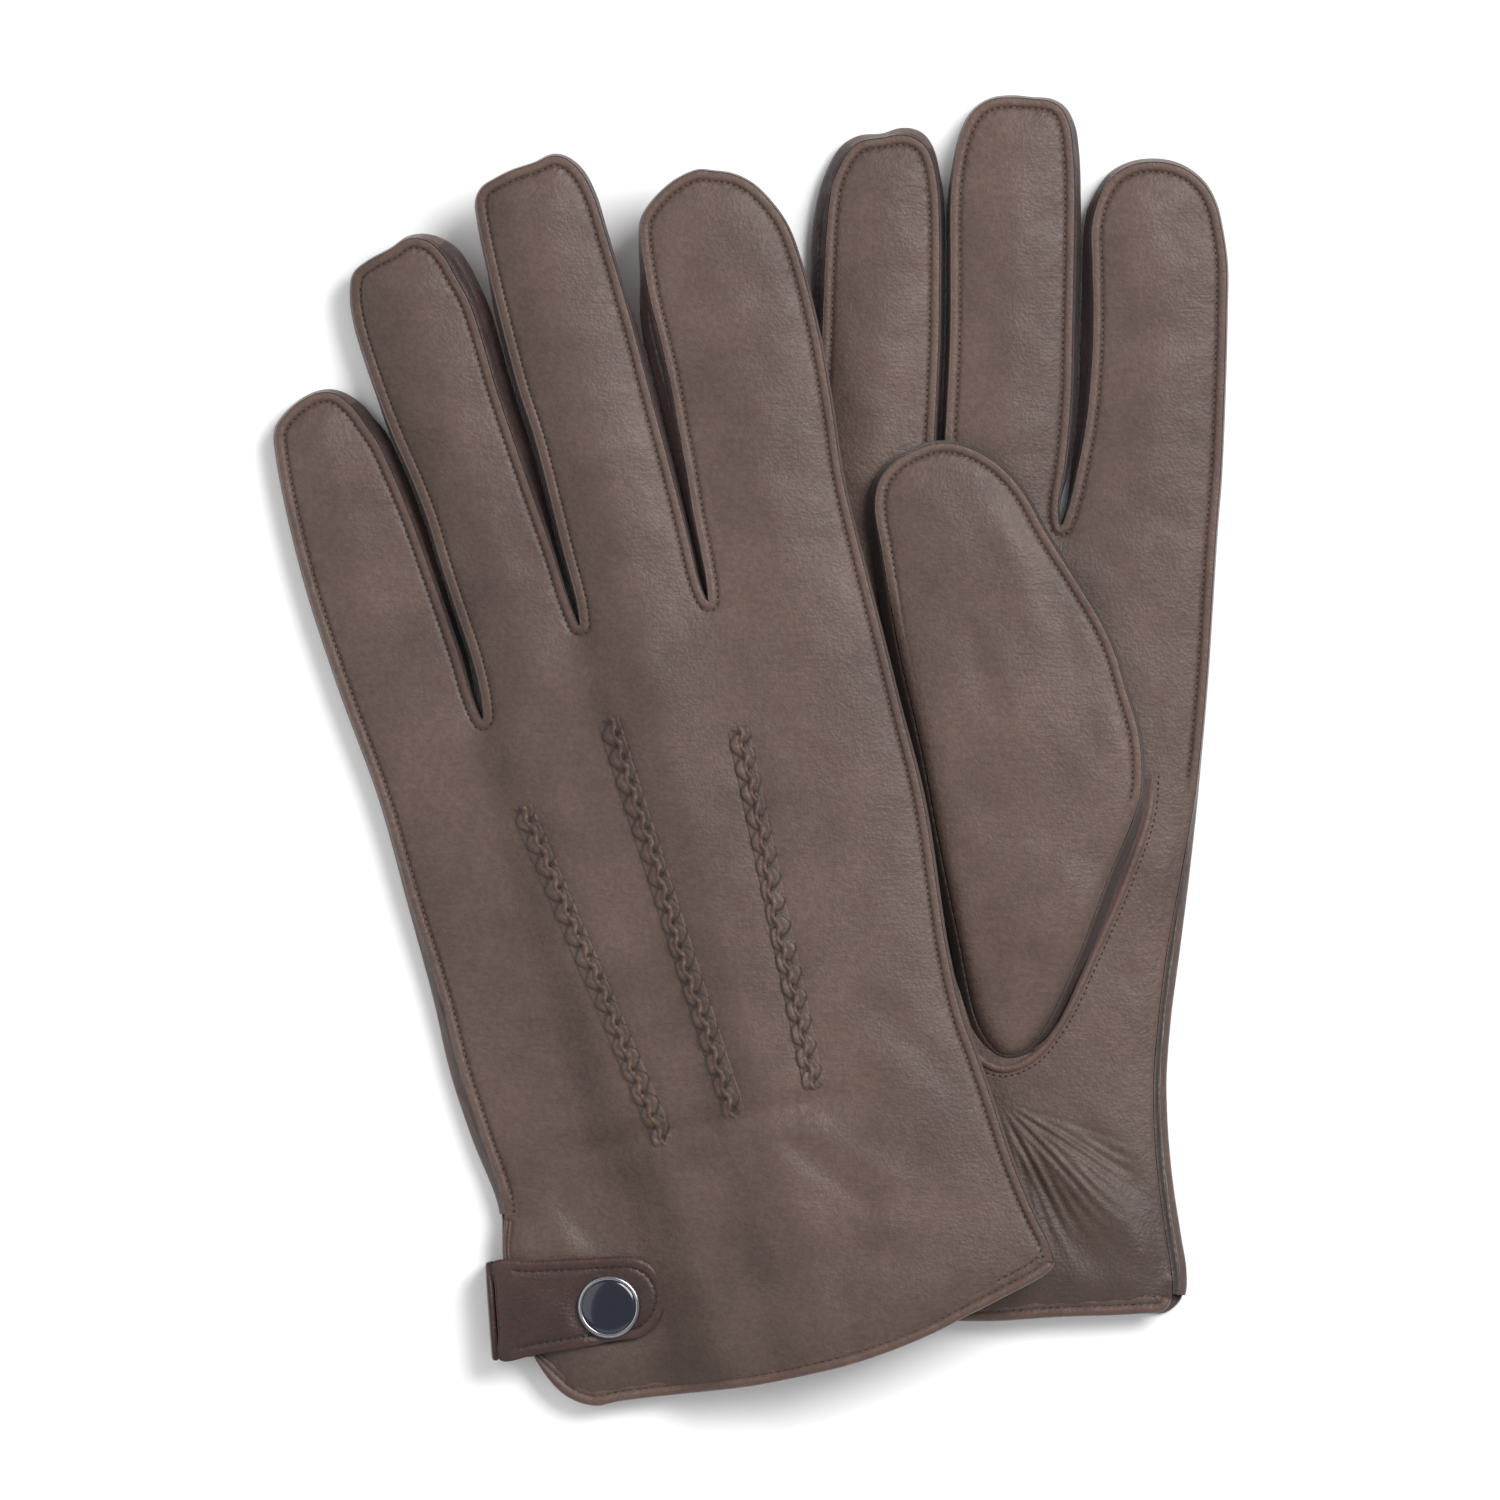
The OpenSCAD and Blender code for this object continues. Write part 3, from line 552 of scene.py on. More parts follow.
def creases_of_palm(p):
    """Folds that fan out from the foot of the right thumb, and soft waves."""
    x, y = p[:, 0], p[:, 1]
    z = 0.22 * ripple(p, 30, 13, (1, 1.6)) + 0.08 * ripple(p, 10, 14)
    r = np.hypot(x - 12, y - 39)
    a = np.degrees(np.arctan2(y - 39, x - 12))
    fan = smooth((a + 80) / 14) * smooth((-12 - a) / 12)
    for reach, spread, count, deep in ((9, 5, 26, 0.22), (15, 7, 50, 0.24), (24, 8, 74, 0.16)):
        waver = 0.5 * np.sin(r / 3 + count) + 0.6 * np.sin(a / 6)
        spokes = np.cos(np.radians(a) * count + waver)
        z += deep * fan * np.exp(-(((r - reach) / spread) ** 2)) * spokes
    for s, t, width, deep in (
        ((20, 33), (47, 6), 3.2, -0.9), ((17, 26), (36, 2), 2.2, 0.5),
        ((27, 35), (46, 18), 2.6, 0.6),
        ((42, 66), (33, 60), 2, 0.3), ((41, 88), (47, 100), 1.8, 0.3),
        ((45, 92), (44, 60), 2, -0.4),
        ((38, 110), (44, 124), 1.6, 0.3), ((24, 152), (36, 143), 1.6, 0.25),
    ):
        z -= deep * along_line(p, s, t, 1.25 * width)
    return z


def knuckle_waves(p, glove, seed):
    """Cross creases on the fingers."""
    z = np.zeros(len(p))
    for i in range(4):
        q = finger_frame(p, glove, i)
        on = smooth((q[:, 1] - 4) / 12) * smooth((15 - np.abs(q[:, 0])) / 3)
        z += on * (0.16 * ripple(q, 15, seed + i, (1.6, 1))
                   + 0.07 * ripple(q, 6, seed + 9 + i, (2, 1)))
    return z


# rows of mesh points beside a seam, by their distance from it
RINGS = (0.3, 0.6, 0.95, 1.3, 1.6, 1.82, 2.05, 2.35, 2.8, 3.5, 4.5)
STEP = 0.8                  # between the points of a leather edge
LINING_STEP, LINING_INSET, LINING_DEPTH = 2.2, 1.6, 1.35


def offset_path(edge, d):
    """The outline moved in by d, with a round arc at the bottom of each fork.

    Gives the points and the edge point that each one comes from.
    """
    n_in, count = inward(edge), len(edge)
    angle = np.arctan2(n_in[:, 1], n_in[:, 0])
    pts, source = [], []
    for i in range(count):
        bend_by = (angle[(i + 1) % count] - angle[i - 1]) % (2 * np.pi)
        if 0.5 < bend_by < np.pi + 0.2:
            steps = max(3, int(bend_by * d / 0.5))
            fan = angle[i - 1] + bend_by * np.linspace(0, 1, steps)
            pts += [edge[i, :2] + d * np.array([np.cos(a), np.sin(a)]) for a in fan]
            source += [i] * steps
        else:
            pts.append(edge[i, :2] + n_in[i] * d)
            source.append(i)
    return np.array(pts), np.array(source)


# ---- a sheet of leather inside an outline ------------------------------------------
def fill(edge, rings, step, mouths=(), cuts=(), grid=1.7, fine=None):
    """Triangles inside a closed outline, with rows of points that follow its edge.

    Each mouth is a hole.  Each cut is a pair of edge points joined by a straight
    line of triangle edges, so that the sheet can be parted there.
    """
    tree = tree_of(edge)
    pts = [edge[:, :2]]
    for d in rings:
        keep_every = max(1, int(round(min(1.6, max(0.8, d * 0.4)) / step)))
        q, source = offset_path(edge, d)
        alone = np.bincount(source, minlength=len(edge))[source] == 1
        q = q[~alone | (source % keep_every == 0)]
        _, dist = nearest(tree, q)
        pts.append(q[dist > d * 0.985 - 0.01])
    lo, hi = edge[:, :2].min(0), edge[:, :2].max(0)
    gx, gy = np.meshgrid(np.arange(lo[0], hi[0], grid), np.arange(lo[1], hi[1], grid * 0.866))
    gx = gx + (np.arange(gx.shape[0]) % 2)[:, None] * grid / 2
    q = np.stack([gx.ravel(), gy.ravel()], 1)
    q = q[inside(edge[:, :2], q)]
    _, dist = nearest(tree, q)
    pts.append(q[dist > (rings[-1] if len(rings) else 0) + grid * 0.55])
    free = np.vstack(pts[1:])
    if fine:
        (cx, cy), reach, small = fine
        near = np.hypot(free[:, 0] - cx, free[:, 1] - cy) < reach
        gx, gy = np.meshgrid(np.arange(cx - reach, cx + reach, small),
                             np.arange(cy - reach, cy + reach, small))
        q = np.stack([gx.ravel(), gy.ravel()], 1)
        q = q[(np.hypot(*(q - (cx, cy)).T) < reach) & inside(edge[:, :2], q)]
        q = q[nearest(tree, q)[1] > rings[-1] + 0.5]
        close_in = nearest(tree, free)[1] > rings[-1] + 0.4
        free = np.vstack([free[~(near & close_in)], q])
    lines, line_edges, start = [], [], len(edge)
    for mouth in mouths:
        m = curve(mouth, 1.2)
        keep = (nearest(tree_of(m), free)[1] > 0.7) & ~inside(m, free)
        free = free[keep]
        k = np.arange(len(m)) + start
        line_edges += list(zip(k, np.roll(k, -1)))
        lines.append(m)
        start += len(m)
    for a, b in cuts:
        pa, pb = edge[a, :2], edge[b, :2]
        long = np.hypot(*(pb - pa))
        near = list(RINGS[:-2])
        t = np.concatenate([near, np.linspace(3.6, long - 3.6, max(int(long / 1.2), 3)),
                            long - np.array(near[::-1])]) / long
        m = pa + t[:, None] * (pb - pa)
        d = (pb - pa) / long
        off = np.abs((free - pa) @ np.array([-d[1], d[0]]))
        on = ((free - pa) @ d > -0.2) & ((free - pa) @ d < long + 0.2)
        free = free[~((off < 0.3) & on)]
        k = [a, *range(start, start + len(m)), b]
        line_edges += list(zip(k[:-1], k[1:]))
        lines.append(m)
        start += len(m)
    every = np.vstack([edge[:, :2], *lines, free])
    loop = list(range(len(edge)))
    out = delaunay_2d_cdt([Vector(q) for q in every], [(int(a), int(b)) for a, b in line_edges],
                          [loop], 1, 1e-5)
    p, faces = np.array(out[0]), out[2]
    mid = np.array([p[list(f)].mean(0) for f in faces])
    hole = np.zeros(len(faces), bool)
    for mouth in mouths:
        hole |= inside(curve(mouth, 1.2), mid)
    faces = [f for f, h in zip(faces, hole) if not h]
    flip = [f if np.cross(p[f[1]] - p[f[0]], p[f[2]] - p[f[0]]) > 0 else f[::-1] for f in faces]
    return p, flip


def seam_profile(d, bead):
    """Height and tone across a beaded seam, d mm in from its edge: rubbed lighter on the bead,
    painted shade in the stitch groove.
    """
    crest = np.sqrt(np.clip(1 - ((d - BEAD * 0.48) / (BEAD * 0.52)) ** 2, 0, 1))
    dip = np.exp(-(((d - BEAD - 0.2) / 0.32) ** 2))
    z = bead * (0.3 * crest - 0.35 * dip)
    # the crest is rubbed lighter; the dip carries painted shade
    tone = bead * (0.32 * crest ** 3 * (d < BEAD) - 0.3 * dip)
    return z, tone


STITCH_POINTS, STITCH_FACES = 10, 12    # in the mesh of one stitch


def stitches_along(path, heights, pitch=STITCH, size=0.2, long=0.66):
    """Small thread capsules laid end to end along a path, and their row numbers."""
    s = np.concatenate([[0], np.cumsum(np.hypot(*np.diff(path, axis=0).T))])
    at = np.arange(pitch / 2, s[-1], pitch)
    x, y, z = (np.interp(at, s, c) for c in (path[:, 0], path[:, 1], heights))
    tx, ty = (np.interp(at + 0.3, s, c) - np.interp(at - 0.3, s, c) for c in path[:, :2].T)
    k = np.maximum(np.hypot(tx, ty), 1e-9)
    tx, ty = tx / k, ty / k
    v, f = [], []
    ring = [(np.cos(a), np.sin(a)) for a in np.radians([45, 135, 225, 315])]
    for i in range(len(at)):
        base = len(v)
        c = np.array([x[i], y[i], z[i]])
        t, n, up = np.array([tx[i], ty[i], 0]), np.array([-ty[i], tx[i], 0]), np.array([0, 0, 1.0])
        v.append(c - t * long / 2 - up * size * 0.8)
        for e in (-0.3, 0.3):
            for a, b in ring:
                v.append(c + t * long * e + (n * a + up * b) * size)
        v.append(c + t * long / 2 - up * size * 0.8)
        for j in range(4):
            k2 = (j + 1) % 4
            f.append((base, base + 1 + k2, base + 1 + j))
            f.append((base + 1 + j, base + 1 + k2, base + 5 + k2, base + 5 + j))
            f.append((base + 5 + j, base + 5 + k2, base + 9))
    return np.array(v).reshape(-1, 3), f


# ---- one glove's shell ---------------------------------------------------------------


class Shell:
    """Leather (or lining) of one glove: top sheet, underside and the sides between."""

    def __init__(self, glove, plain=False):
        self.glove, self.plain = glove, plain
        self.step = LINING_STEP if plain else STEP
        e = curve(OUTLINE[glove], self.step)
        if plain:
            e[:, :2] += inward(e) * LINING_INSET
        self.edge, self.normal = e, inward(e)
        y, x = e[:, 1], e[:, 0]
        self.hem = (y < 1.2) & ~((x > 45) & (y > 0.5)) | ((x < -40) & (y < VENT_TOP - 1))
        self.cut_of = {}
        # the outline runs from the little finger to the index, parted by the forks
        k_edge = np.arange(len(e))
        forks = [len(e), *[int(np.hypot(*(e[:, :2] - c).T).argmin()) for c in FORK[glove]], -1]
        for i, fold in enumerate(FOLD[glove]):
            if fold is None:
                continue
            q = finger_frame(e, glove, i)
            own = (k_edge > forks[i + 1]) & (k_edge < forks[i]) & (q[:, 1] > -8)
            off = np.abs(q[:, 1] - fold)
            self.cut_of[i] = tuple(int(np.where(own & (q[:, 0] * sign > 0), off, 99).argmin())
                                   for sign in (-1, 1))
        self.build()

    def region(self, p):
        """0 to 3 on the fingers beyond their fold, and -1 on the hand."""
        r = np.full(len(p), -1)
        for i, (a, b) in self.cut_of.items():
            pa, pb = self.edge[a, :2], self.edge[b, :2]
            long = np.hypot(*(pb - pa))
            d = (pb - pa) / long
            ahead = (p[:, :2] - pa) @ np.array([-d[1], d[0]]) > 0
            q = finger_frame(p, self.glove, i)
            near = np.abs(q[:, 0]) < min(max(long / 2 + 2.2, 17), 19)
            r[ahead & near & self.within(q, i)] = i
        return r

    def within(self, q, i):
        """Whether points in a finger's own frame are nearer this finger than the next."""
        ok = np.ones(len(q), bool)
        world = turn(q, LEAN[self.glove][i]) + np.array(BASE[self.glove][i])
        for j in range(4):
            if j != i:
                other = finger_frame(world, self.glove, j)
                ok &= np.abs(q[:, 0]) / FINGER_WIDE[i] <= np.abs(other[:, 0]) / FINGER_WIDE[j]
        return ok

    def lift(self, p, upper):
        """Height of a sheet, and its tone: seam crests rubbed lighter, with painted shade in the
        grooves and shaded places.
        """
        glove, sign = self.glove, 1 if upper else -1
        level = top_level(glove, p) if upper else lay(glove, p)
        if self.plain:
            return level - sign * LINING_DEPTH, np.zeros(len(p))
        k, d = nearest(self.seam_tree, p)
        bead = self.bead[self.seam[k]]
        z, tone = seam_profile(d, bead)
        z = z - 0.9 * (1 - bead) * np.exp(-d / 0.9)
        hem_d = nearest(self.hem_tree, p)[1]
        fade = smooth((hem_d - 3.5) / 1.5)
        z, tone = z * fade, tone * fade
        swell = 1 - np.exp(-np.clip(d - 1.7, 0, 50) / (7 if upper else 4))
        rise, sink = (1.9, 0.75) if upper else (0.35, 0.35)
        z = z + rise * swell * smooth(hem_d / 12 + 0.25) - sink
        s = self.length[self.seam[k]]
        pucker = np.exp(-np.clip(d - 2, 0, 50) / 2.2) * (d > 1.9) * fade
        tip = smooth((p[:, 1] - 190) / 30)
        z += pucker * (0.05 + 0.1 * tip) * np.cos(2 * np.pi * s / 2.9 + 2 * np.sin(s / 9))
        z -= 0.45 * (1 - smooth(hem_d / 3.9))
        if upper:
            creases = creases_of_back(p) if glove == L else creases_of_palm(p)
            z += creases * smooth(d / 7) * smooth(hem_d / 7)
            z += knuckle_waves(p, glove, 20 if glove == L else 40) * smooth(d / 5)
        else:
            z = z * 0.8 - 0.1 * ripple(p, 26, 50) * smooth(d / 6)
            z = np.minimum(z, 0.0 if glove == L else 9)
        if upper == (glove == L):
            for a, b in POINTS:
                z -= (0.45 if upper else 0.2) * along_line(p, a, b, 2.6, 3)
        if upper and glove == L:
            # painted shade: the back darkens towards the cuff's little-finger corner
            tone = tone - 0.5 * smooth((38 - p[:, 1]) / 40) * smooth((16 - p[:, 0]) / 50)
            # the snap presses its seat into the leather
            seat = turn(np.array([SNAP_AT, SNAP_SIDE]), STRAP_TURN[L]) + np.array(STRAP_AT[L])
            z = z - 1.3 * smooth((8 - np.hypot(*(p[:, :2] - seat).T)) / 4)
        if upper and glove == R:
            # painted shadow that the left glove casts over the right glove's cuff
            tone = tone - 0.55 * smooth((52 - p[:, 1]) / 45)
        out = level + sign * z
        if not upper:
            out = np.maximum(out, 0.05)
        return out, tone

    def closeness(self, w):
        """How far each side may swell to meet the side of the next finger."""
        out = self.edge[:, :2] - self.normal * w[:, None]
        tree, n = tree_of(out), len(out)
        swell = np.zeros(n)
        for i, q in enumerate(out):
            for _, j, d in tree.find_range((q[0], q[1], 0), 2.6):
                if min(abs(i - j), n - abs(i - j)) > 12 and self.normal[i] @ self.normal[j] < -0.3:
                    gap = max(d - 0.3, 0) / 2
                    swell[i] = gap if swell[i] == 0 else min(swell[i], gap)
        far = np.flatnonzero(swell == 0)
        steps = np.abs(np.arange(n)[:, None] - far)
        return swell * 0.9 * smooth(np.minimum(steps, n - steps).min(1) / 14) * (not self.plain)

    def build(self):
        glove, plain, e = self.glove, self.plain, self.edge
        self.length = np.arange(len(e)) * STEP
        plain_edge = smooth((110 - e[:, 1]) / 14) * (e[:, 0] > 40) * (glove == R)
        self.bead = 1 - plain_edge
        self.seam = np.where(~self.hem)[0]
        self.seam_tree = tree_of(e[self.seam])
        self.hem_tree = tree_of(e[self.hem])
        low_edge = e.copy()
        low_edge[:, :2] -= self.normal * np.maximum(e[:, 2] - 0.45, 0)[:, None]
        sheets = []
        for upper, outline in ((True, e), (False, low_edge)):
            is_palm = upper == (glove == R)
            rings, grid = (RINGS, 1.5) if upper else (RINGS[::2], 2.4)
            if plain:
                rings, grid = (1.5, 3), 4.0
            mouths = [PALM_MOUTH[glove]] if is_palm and not plain else []
            fine = FAN if upper and is_palm and not plain else None
            p, f = fill(outline, rings, self.step, mouths, self.cut_of.values(), grid, fine)
            if not upper:
                save = self.seam_tree, self.hem_tree
                self.seam_tree = tree_of(outline[self.seam])
                self.hem_tree = tree_of(outline[self.hem])
            z, tone = self.lift(p, upper)
            if not upper:
                self.low_trees = self.seam_tree, self.hem_tree
                self.seam_tree, self.hem_tree = save
                f = [q[::-1] for q in f]
            sheets.append((p, f, z, tone))
        self.low_edge = low_edge
        (p0, f0, z0, t0), (p1, f1, z1, t1) = sheets
        n0 = len(p0)
        v = np.vstack([np.column_stack([p0, z0]), np.column_stack([p1, z1])])
        faces = list(f0) + [tuple(i + n0 for i in q) for q in f1]
        tone = np.concatenate([t0, t1])
        kind = [0] * len(f0) + [1] * len(f1)
        # the sides, as rows of points from the upper seam round to the lower one
        w = e[:, 2] + (0.4 if plain else 0.0)
        top_z, low_z = z0[: len(e)], z1[: len(e)]
        rows = [(0.35, 0.10, 0.0), (0.25, 0.2, -0.35), (0.62, 0.36, -0.5), (0.9, 0.52, -0.3),
                (1.0, 0.66, 0.0), (0.97, 0.8, 0.0), (0.9, 0.92, 0.0)]
        if plain:
            rows = [(0.9, 0.25, 0), (1, 0.5, 0), (0.9, 0.75, 0)]
        ring_at = [np.arange(len(e))]
        close = self.closeness(w)
        # painted shade on the sides: darker low on the hand, where they fold under
        painted_edge_shade = smooth((112 - e[:, 1]) / 22)
        painted_edge_shade *= (e[:, 0] > 40) if glove == R else smooth((e[:, 1] - 30) / 12) * (e[:, 0] < -46)
        for reach, drop, tuck in rows:
            out = w * reach + np.clip(w, 0, 1) * tuck * 0.5 + close * (drop > 0.6)
            q = e[:, :2] - self.normal * out[:, None]
            wave = 0 if plain else 0.12 * ripple(q, 7, 61 + int(drop * 100)) * np.clip(w, 0, 1.5)
            z = top_z * (1 - drop) + low_z * drop + wave
            ring_at.append(np.arange(len(e)) + len(v))
            v = np.vstack([v, np.column_stack([q, z])])
            # painted shade: a little on the top row of the sides all round, and more on the sides
            # low on the hand
            shaded = 0.4 if drop < 0.2 and not plain else 0.0
            tone = np.concatenate([tone, -shaded - (1.25 if drop < 0.3 else 0.3) * painted_edge_shade])
        ring_at.append(np.arange(len(e)) + n0)
        nxt = np.roll(np.arange(len(e)), -1)
        open_ = self.hem | self.hem[nxt]
        column = [-1] * len(faces)  # the edge point that each side face stands on
        for a, b in zip(ring_at[:-1], ring_at[1:]):
            for i in np.flatnonzero(~open_):
                column.append(i)
                faces.append((a[i], b[i], b[nxt[i]], a[nxt[i]]))
                kind.append(2)
        self.v, self.faces, self.tone, self.kind = v, faces, tone, np.array(kind)
        self.n = vertex_normals(v, faces)
        mid = np.array([v[list(f)].mean(0) for f in faces])
        self.at = self.region(mid)
        side = self.kind == 2
        # sides take their finger from the edge columns between its two cuts
        column = np.array(column)
        for i, (a, b) in self.cut_of.items():
            between = (column >= a) & (column < b) if a < b else (column >= a) | (column < b)
            kept = np.where(self.at[side] == i, -1, self.at[side])
            self.at[side] = np.where(between[side], i, kept)
        self.column = column

    def cut_piece(self, name, mask, material):
        v, f, n, t = part_of(self.v, self.faces, self.n, self.tone, mask)
        return piece(name, on_table(v, self.glove), f, material, turn(n, PLACE[self.glove][1]), t)


def fold_points(glove, i, spread):
    """Row-frame points at a finger's fold and `spread` mm beyond it."""
    out = []
    for s in (FOLD[glove][i], FOLD[glove][i] + spread):
        q = turn(np.array([[0.0, s]]), LEAN[glove][i]) + np.array(BASE[glove][i])
        p = np.column_stack([q, [FINGER_TOP[glove][i]]])
        out.append(tuple(on_table(p, glove)[0]))
    return out


def attach(o, glove, where, node=None):
    """Ride a piece on a body, or, for finger number `where`, leave it where it lies.

    It stands for the CAD node, if there is one, which it hides.
    """
    if isinstance(where, str):
        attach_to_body(o, f"{glove}_{where}")
    else:
        a, b = fold_points(glove, where, 12 if glove == L else 15)
        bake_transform(o)
    if node:
        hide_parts(f"{glove}_{node}")


TIP_AT = [84, 90, 87, 69]     # how far the fourchettes run along each finger


def make_leather(glove):
    s = Shell(glove)
    top, low, side = s.kind == 0, s.kind == 1, s.kind == 2
    hand = s.at == -1
    col = np.clip(s.column, 0, None)
    ex = s.edge[col, 0]
    outer = side & ((ex < -46) | (ex > 40))
    # on the right hand the little finger is part of the hand
    tip_of_pinky = np.zeros(len(side), bool)
    if glove == R:
        q = finger_frame(s.edge[col], R, 3)
        tip_of_pinky = side & hand & (np.abs(q[:, 0]) < 14) & (q[:, 1] > 60)
    up, under = ("back", "palm") if glove == L else ("palm", "back")
    o = s.cut_piece(f"{glove}_{up}_leather", hand & top, BROWN)
    attach(o, glove, "hand", f"{up}_panel")
    o = s.cut_piece(f"{glove}_{under}_leather", hand & (low | outer | tip_of_pinky), BROWN)
    attach(o, glove, "hand", f"{under}_panel")
    o = s.cut_piece(f"{glove}_fourchettes_hand", hand & side & ~outer & ~tip_of_pinky, SHADED_SIDE)
    attach(o, glove, "hand", "fourchette_forks")
    for i in s.cut_of:
        mine = s.at == i
        q = finger_frame(s.edge[col], glove, i)
        rest = mine.copy()
        for facing, sign in (("radial", 1), ("ulnar", -1)):
            if (i, sign) in ((0, 1), (3, -1)):
                continue  # the outer sides of the hand have no fourchette
            leg = side & mine & (q[:, 1] < TIP_AT[i]) & (q[:, 0] * sign > 0)
            rest &= ~leg
            name = f"{FINGERS[i]}_{facing}_fourchette"
            o = s.cut_piece(f"{glove}_{name}_leather", leg, SHADED_SIDE)
            attach(o, glove, i, name)
        o = s.cut_piece(f"{glove}_{FINGERS[i]}_leather", rest, BROWN)
        attach(o, glove, i, f"{FINGERS[i]}_shell")
    make_stitching(s)
    return s


def make_stitching(s):
    """The stitch line in the groove of every panel seam, parted at the folds."""
    glove = s.glove
    sets = {}
    for upper, outline in ((True, s.edge), (False, s.low_edge)):
        path, source = offset_path(outline, BEAD + 0.2)
        d = nearest(tree_of(outline), path)[1]
        good = (d > BEAD) & ~s.hem[source] & ((s.bead[source] > 0.5) | (not upper))
        if not upper:
            save = s.seam_tree, s.hem_tree
            s.seam_tree, s.hem_tree = s.low_trees
        z = s.lift(path, upper)[0] + (0.05 if upper else -0.05)
        if not upper:
            s.seam_tree, s.hem_tree = save
        runs = np.flatnonzero(np.diff(np.concatenate([[False], good, [False]]).astype(int)))
        for a, b in zip(runs[::2], runs[1::2]):
            if b - a < 4:
                continue
            v, f = stitches_along(path[a:b], z[a:b])
            owner = s.region(v)[::STITCH_POINTS]
            for r in np.unique(owner):
                sets.setdefault(int(r), ([], []))
            for n, r in enumerate(owner):
                points, sides = sets[int(r)]
                k, k_face = n * STITCH_POINTS, n * STITCH_FACES
                shift = sum(len(x) for x in points) - k
                points.append(v[k: k + STITCH_POINTS])
                sides.extend(tuple(np.array(q) + shift) for q in f[k_face: k_face + STITCH_FACES])
    for r, (v, f) in sets.items():
        name = "hand" if r < 0 else FINGERS[r]
        o = piece(f"{glove}_{name}_stitching", on_table(np.vstack(v), glove), f, THREAD)
        attach(o, glove, "hand" if r < 0 else r)


def make_lining(glove):
    s = Shell(glove, plain=True)
    o = s.cut_piece(f"{glove}_hand_knit", s.at == -1, KNIT)
    attach(o, glove, "hand", "hand_lining")
    for i in s.cut_of:
        o = s.cut_piece(f"{glove}_{FINGERS[i]}_knit", s.at == i, KNIT)
        attach(o, glove, i, f"{FINGERS[i]}_lining")


def grid_faces(rows, cols, closed=False):
    """Quads of a grid of rows by cols points; closed joins the last column to the first."""
    f = []
    for i in range(rows - 1):
        for j in range(cols if closed else cols - 1):
            k = (j + 1) % cols
            f.append((i * cols + j, i * cols + k, (i + 1) * cols + k, (i + 1) * cols + j))
    return f


# ---- hem ------------------------------------------------------------------------------
HEM_SECTION = [(3.9, -0.15), (3.75, 0.12), (3.3, 0.3), (2.7, 0.34), (2.2, 0.26), (1.95, 0.0),
               (1.7, 0.24), (1.2, 0.44), (0.65, 0.38), (0.2, 0.08), (-0.02, -0.35), (0.15, -0.8),
               (0.7, -1.1), (1.8, -1.25), (3.9, -1.3)]


def make_hem(s):
    """Rolled strip round the cuff of both sheets, and its two stitch lines."""
    glove = s.glove
    v, f, tone = [], [], []
    sv, sf = [], []
    for upper, outline in ((True, s.edge), (False, s.low_edge)):
        start = int(np.flatnonzero(s.hem & ~np.roll(s.hem, 1))[0])
        order = [(start + k) % len(outline) for k in range(int(s.hem.sum()))]
        path, n_in = outline[order, :2], inward(outline)[order]
        sign = 1 if upper else -1
        level = top_level(glove, path) if upper else lay(glove, path)
        vent = smooth((path[:, 1] - 2) / 8)
        ends = smooth(np.minimum(np.arange(len(path)), np.arange(len(path))[::-1]) / 4 + 0.4)
        deep = (1 - 0.6 * vent)
        base = len(v)
        for k in range(len(path)):
            for a, h in HEM_SECTION:
                q = path[k] + n_in[k] * a * deep[k]
                wobble = 0.06 * np.sin(k * 0.9) + 0.05 * np.sin(k * 0.37)
                z = level[k] + sign * ((h + (wobble if h > -0.2 else 0)) * ends[k] - 0.35)
                v.append((q[0], q[1], max(z, 0.04)))
                # the crest of the outer roll rubbed lighter; painted shade in the groove between
                # the two rolls
                tone.append(0.5 if h > 0.36 else (-0.55 if h == 0.0 else 0.0))
        cols = len(HEM_SECTION)
        quads = [tuple(i + base for i in q) for q in grid_faces(len(path), cols, closed=True)]
        quads += [tuple(base + i for i in range(cols)),
                  tuple(base + (len(path) - 1) * cols + i for i in range(cols))[::-1]]
        f += quads if not upper else [q[::-1] for q in quads]
        for a, keep in ((3.55, vent < 0.5), (1.95, vent < 0.5)):
            ks = np.flatnonzero(keep)
            if len(ks) < 5:
                continue
            line = path[ks] + n_in[ks] * (a * deep[ks])[:, None]
            zz = level[ks] + sign * (-0.35 + (0.24 if a > 3 else 0.02))
            q, g = stitches_along(line, zz, 1.5, 0.15, 0.95)
            sf += [tuple(i + len(sv) for i in x) for x in g]
            sv += q.tolist()
    v = np.array(v)
    o = piece(f"{glove}_hem_roll", on_table(v, glove), f, BROWN, None, tone)
    attach(o, glove, "hand", "hem")
    o = piece(f"{glove}_hem_stitching", on_table(np.array(sv), glove), sf, THREAD)
    attach(o, glove, "hand")


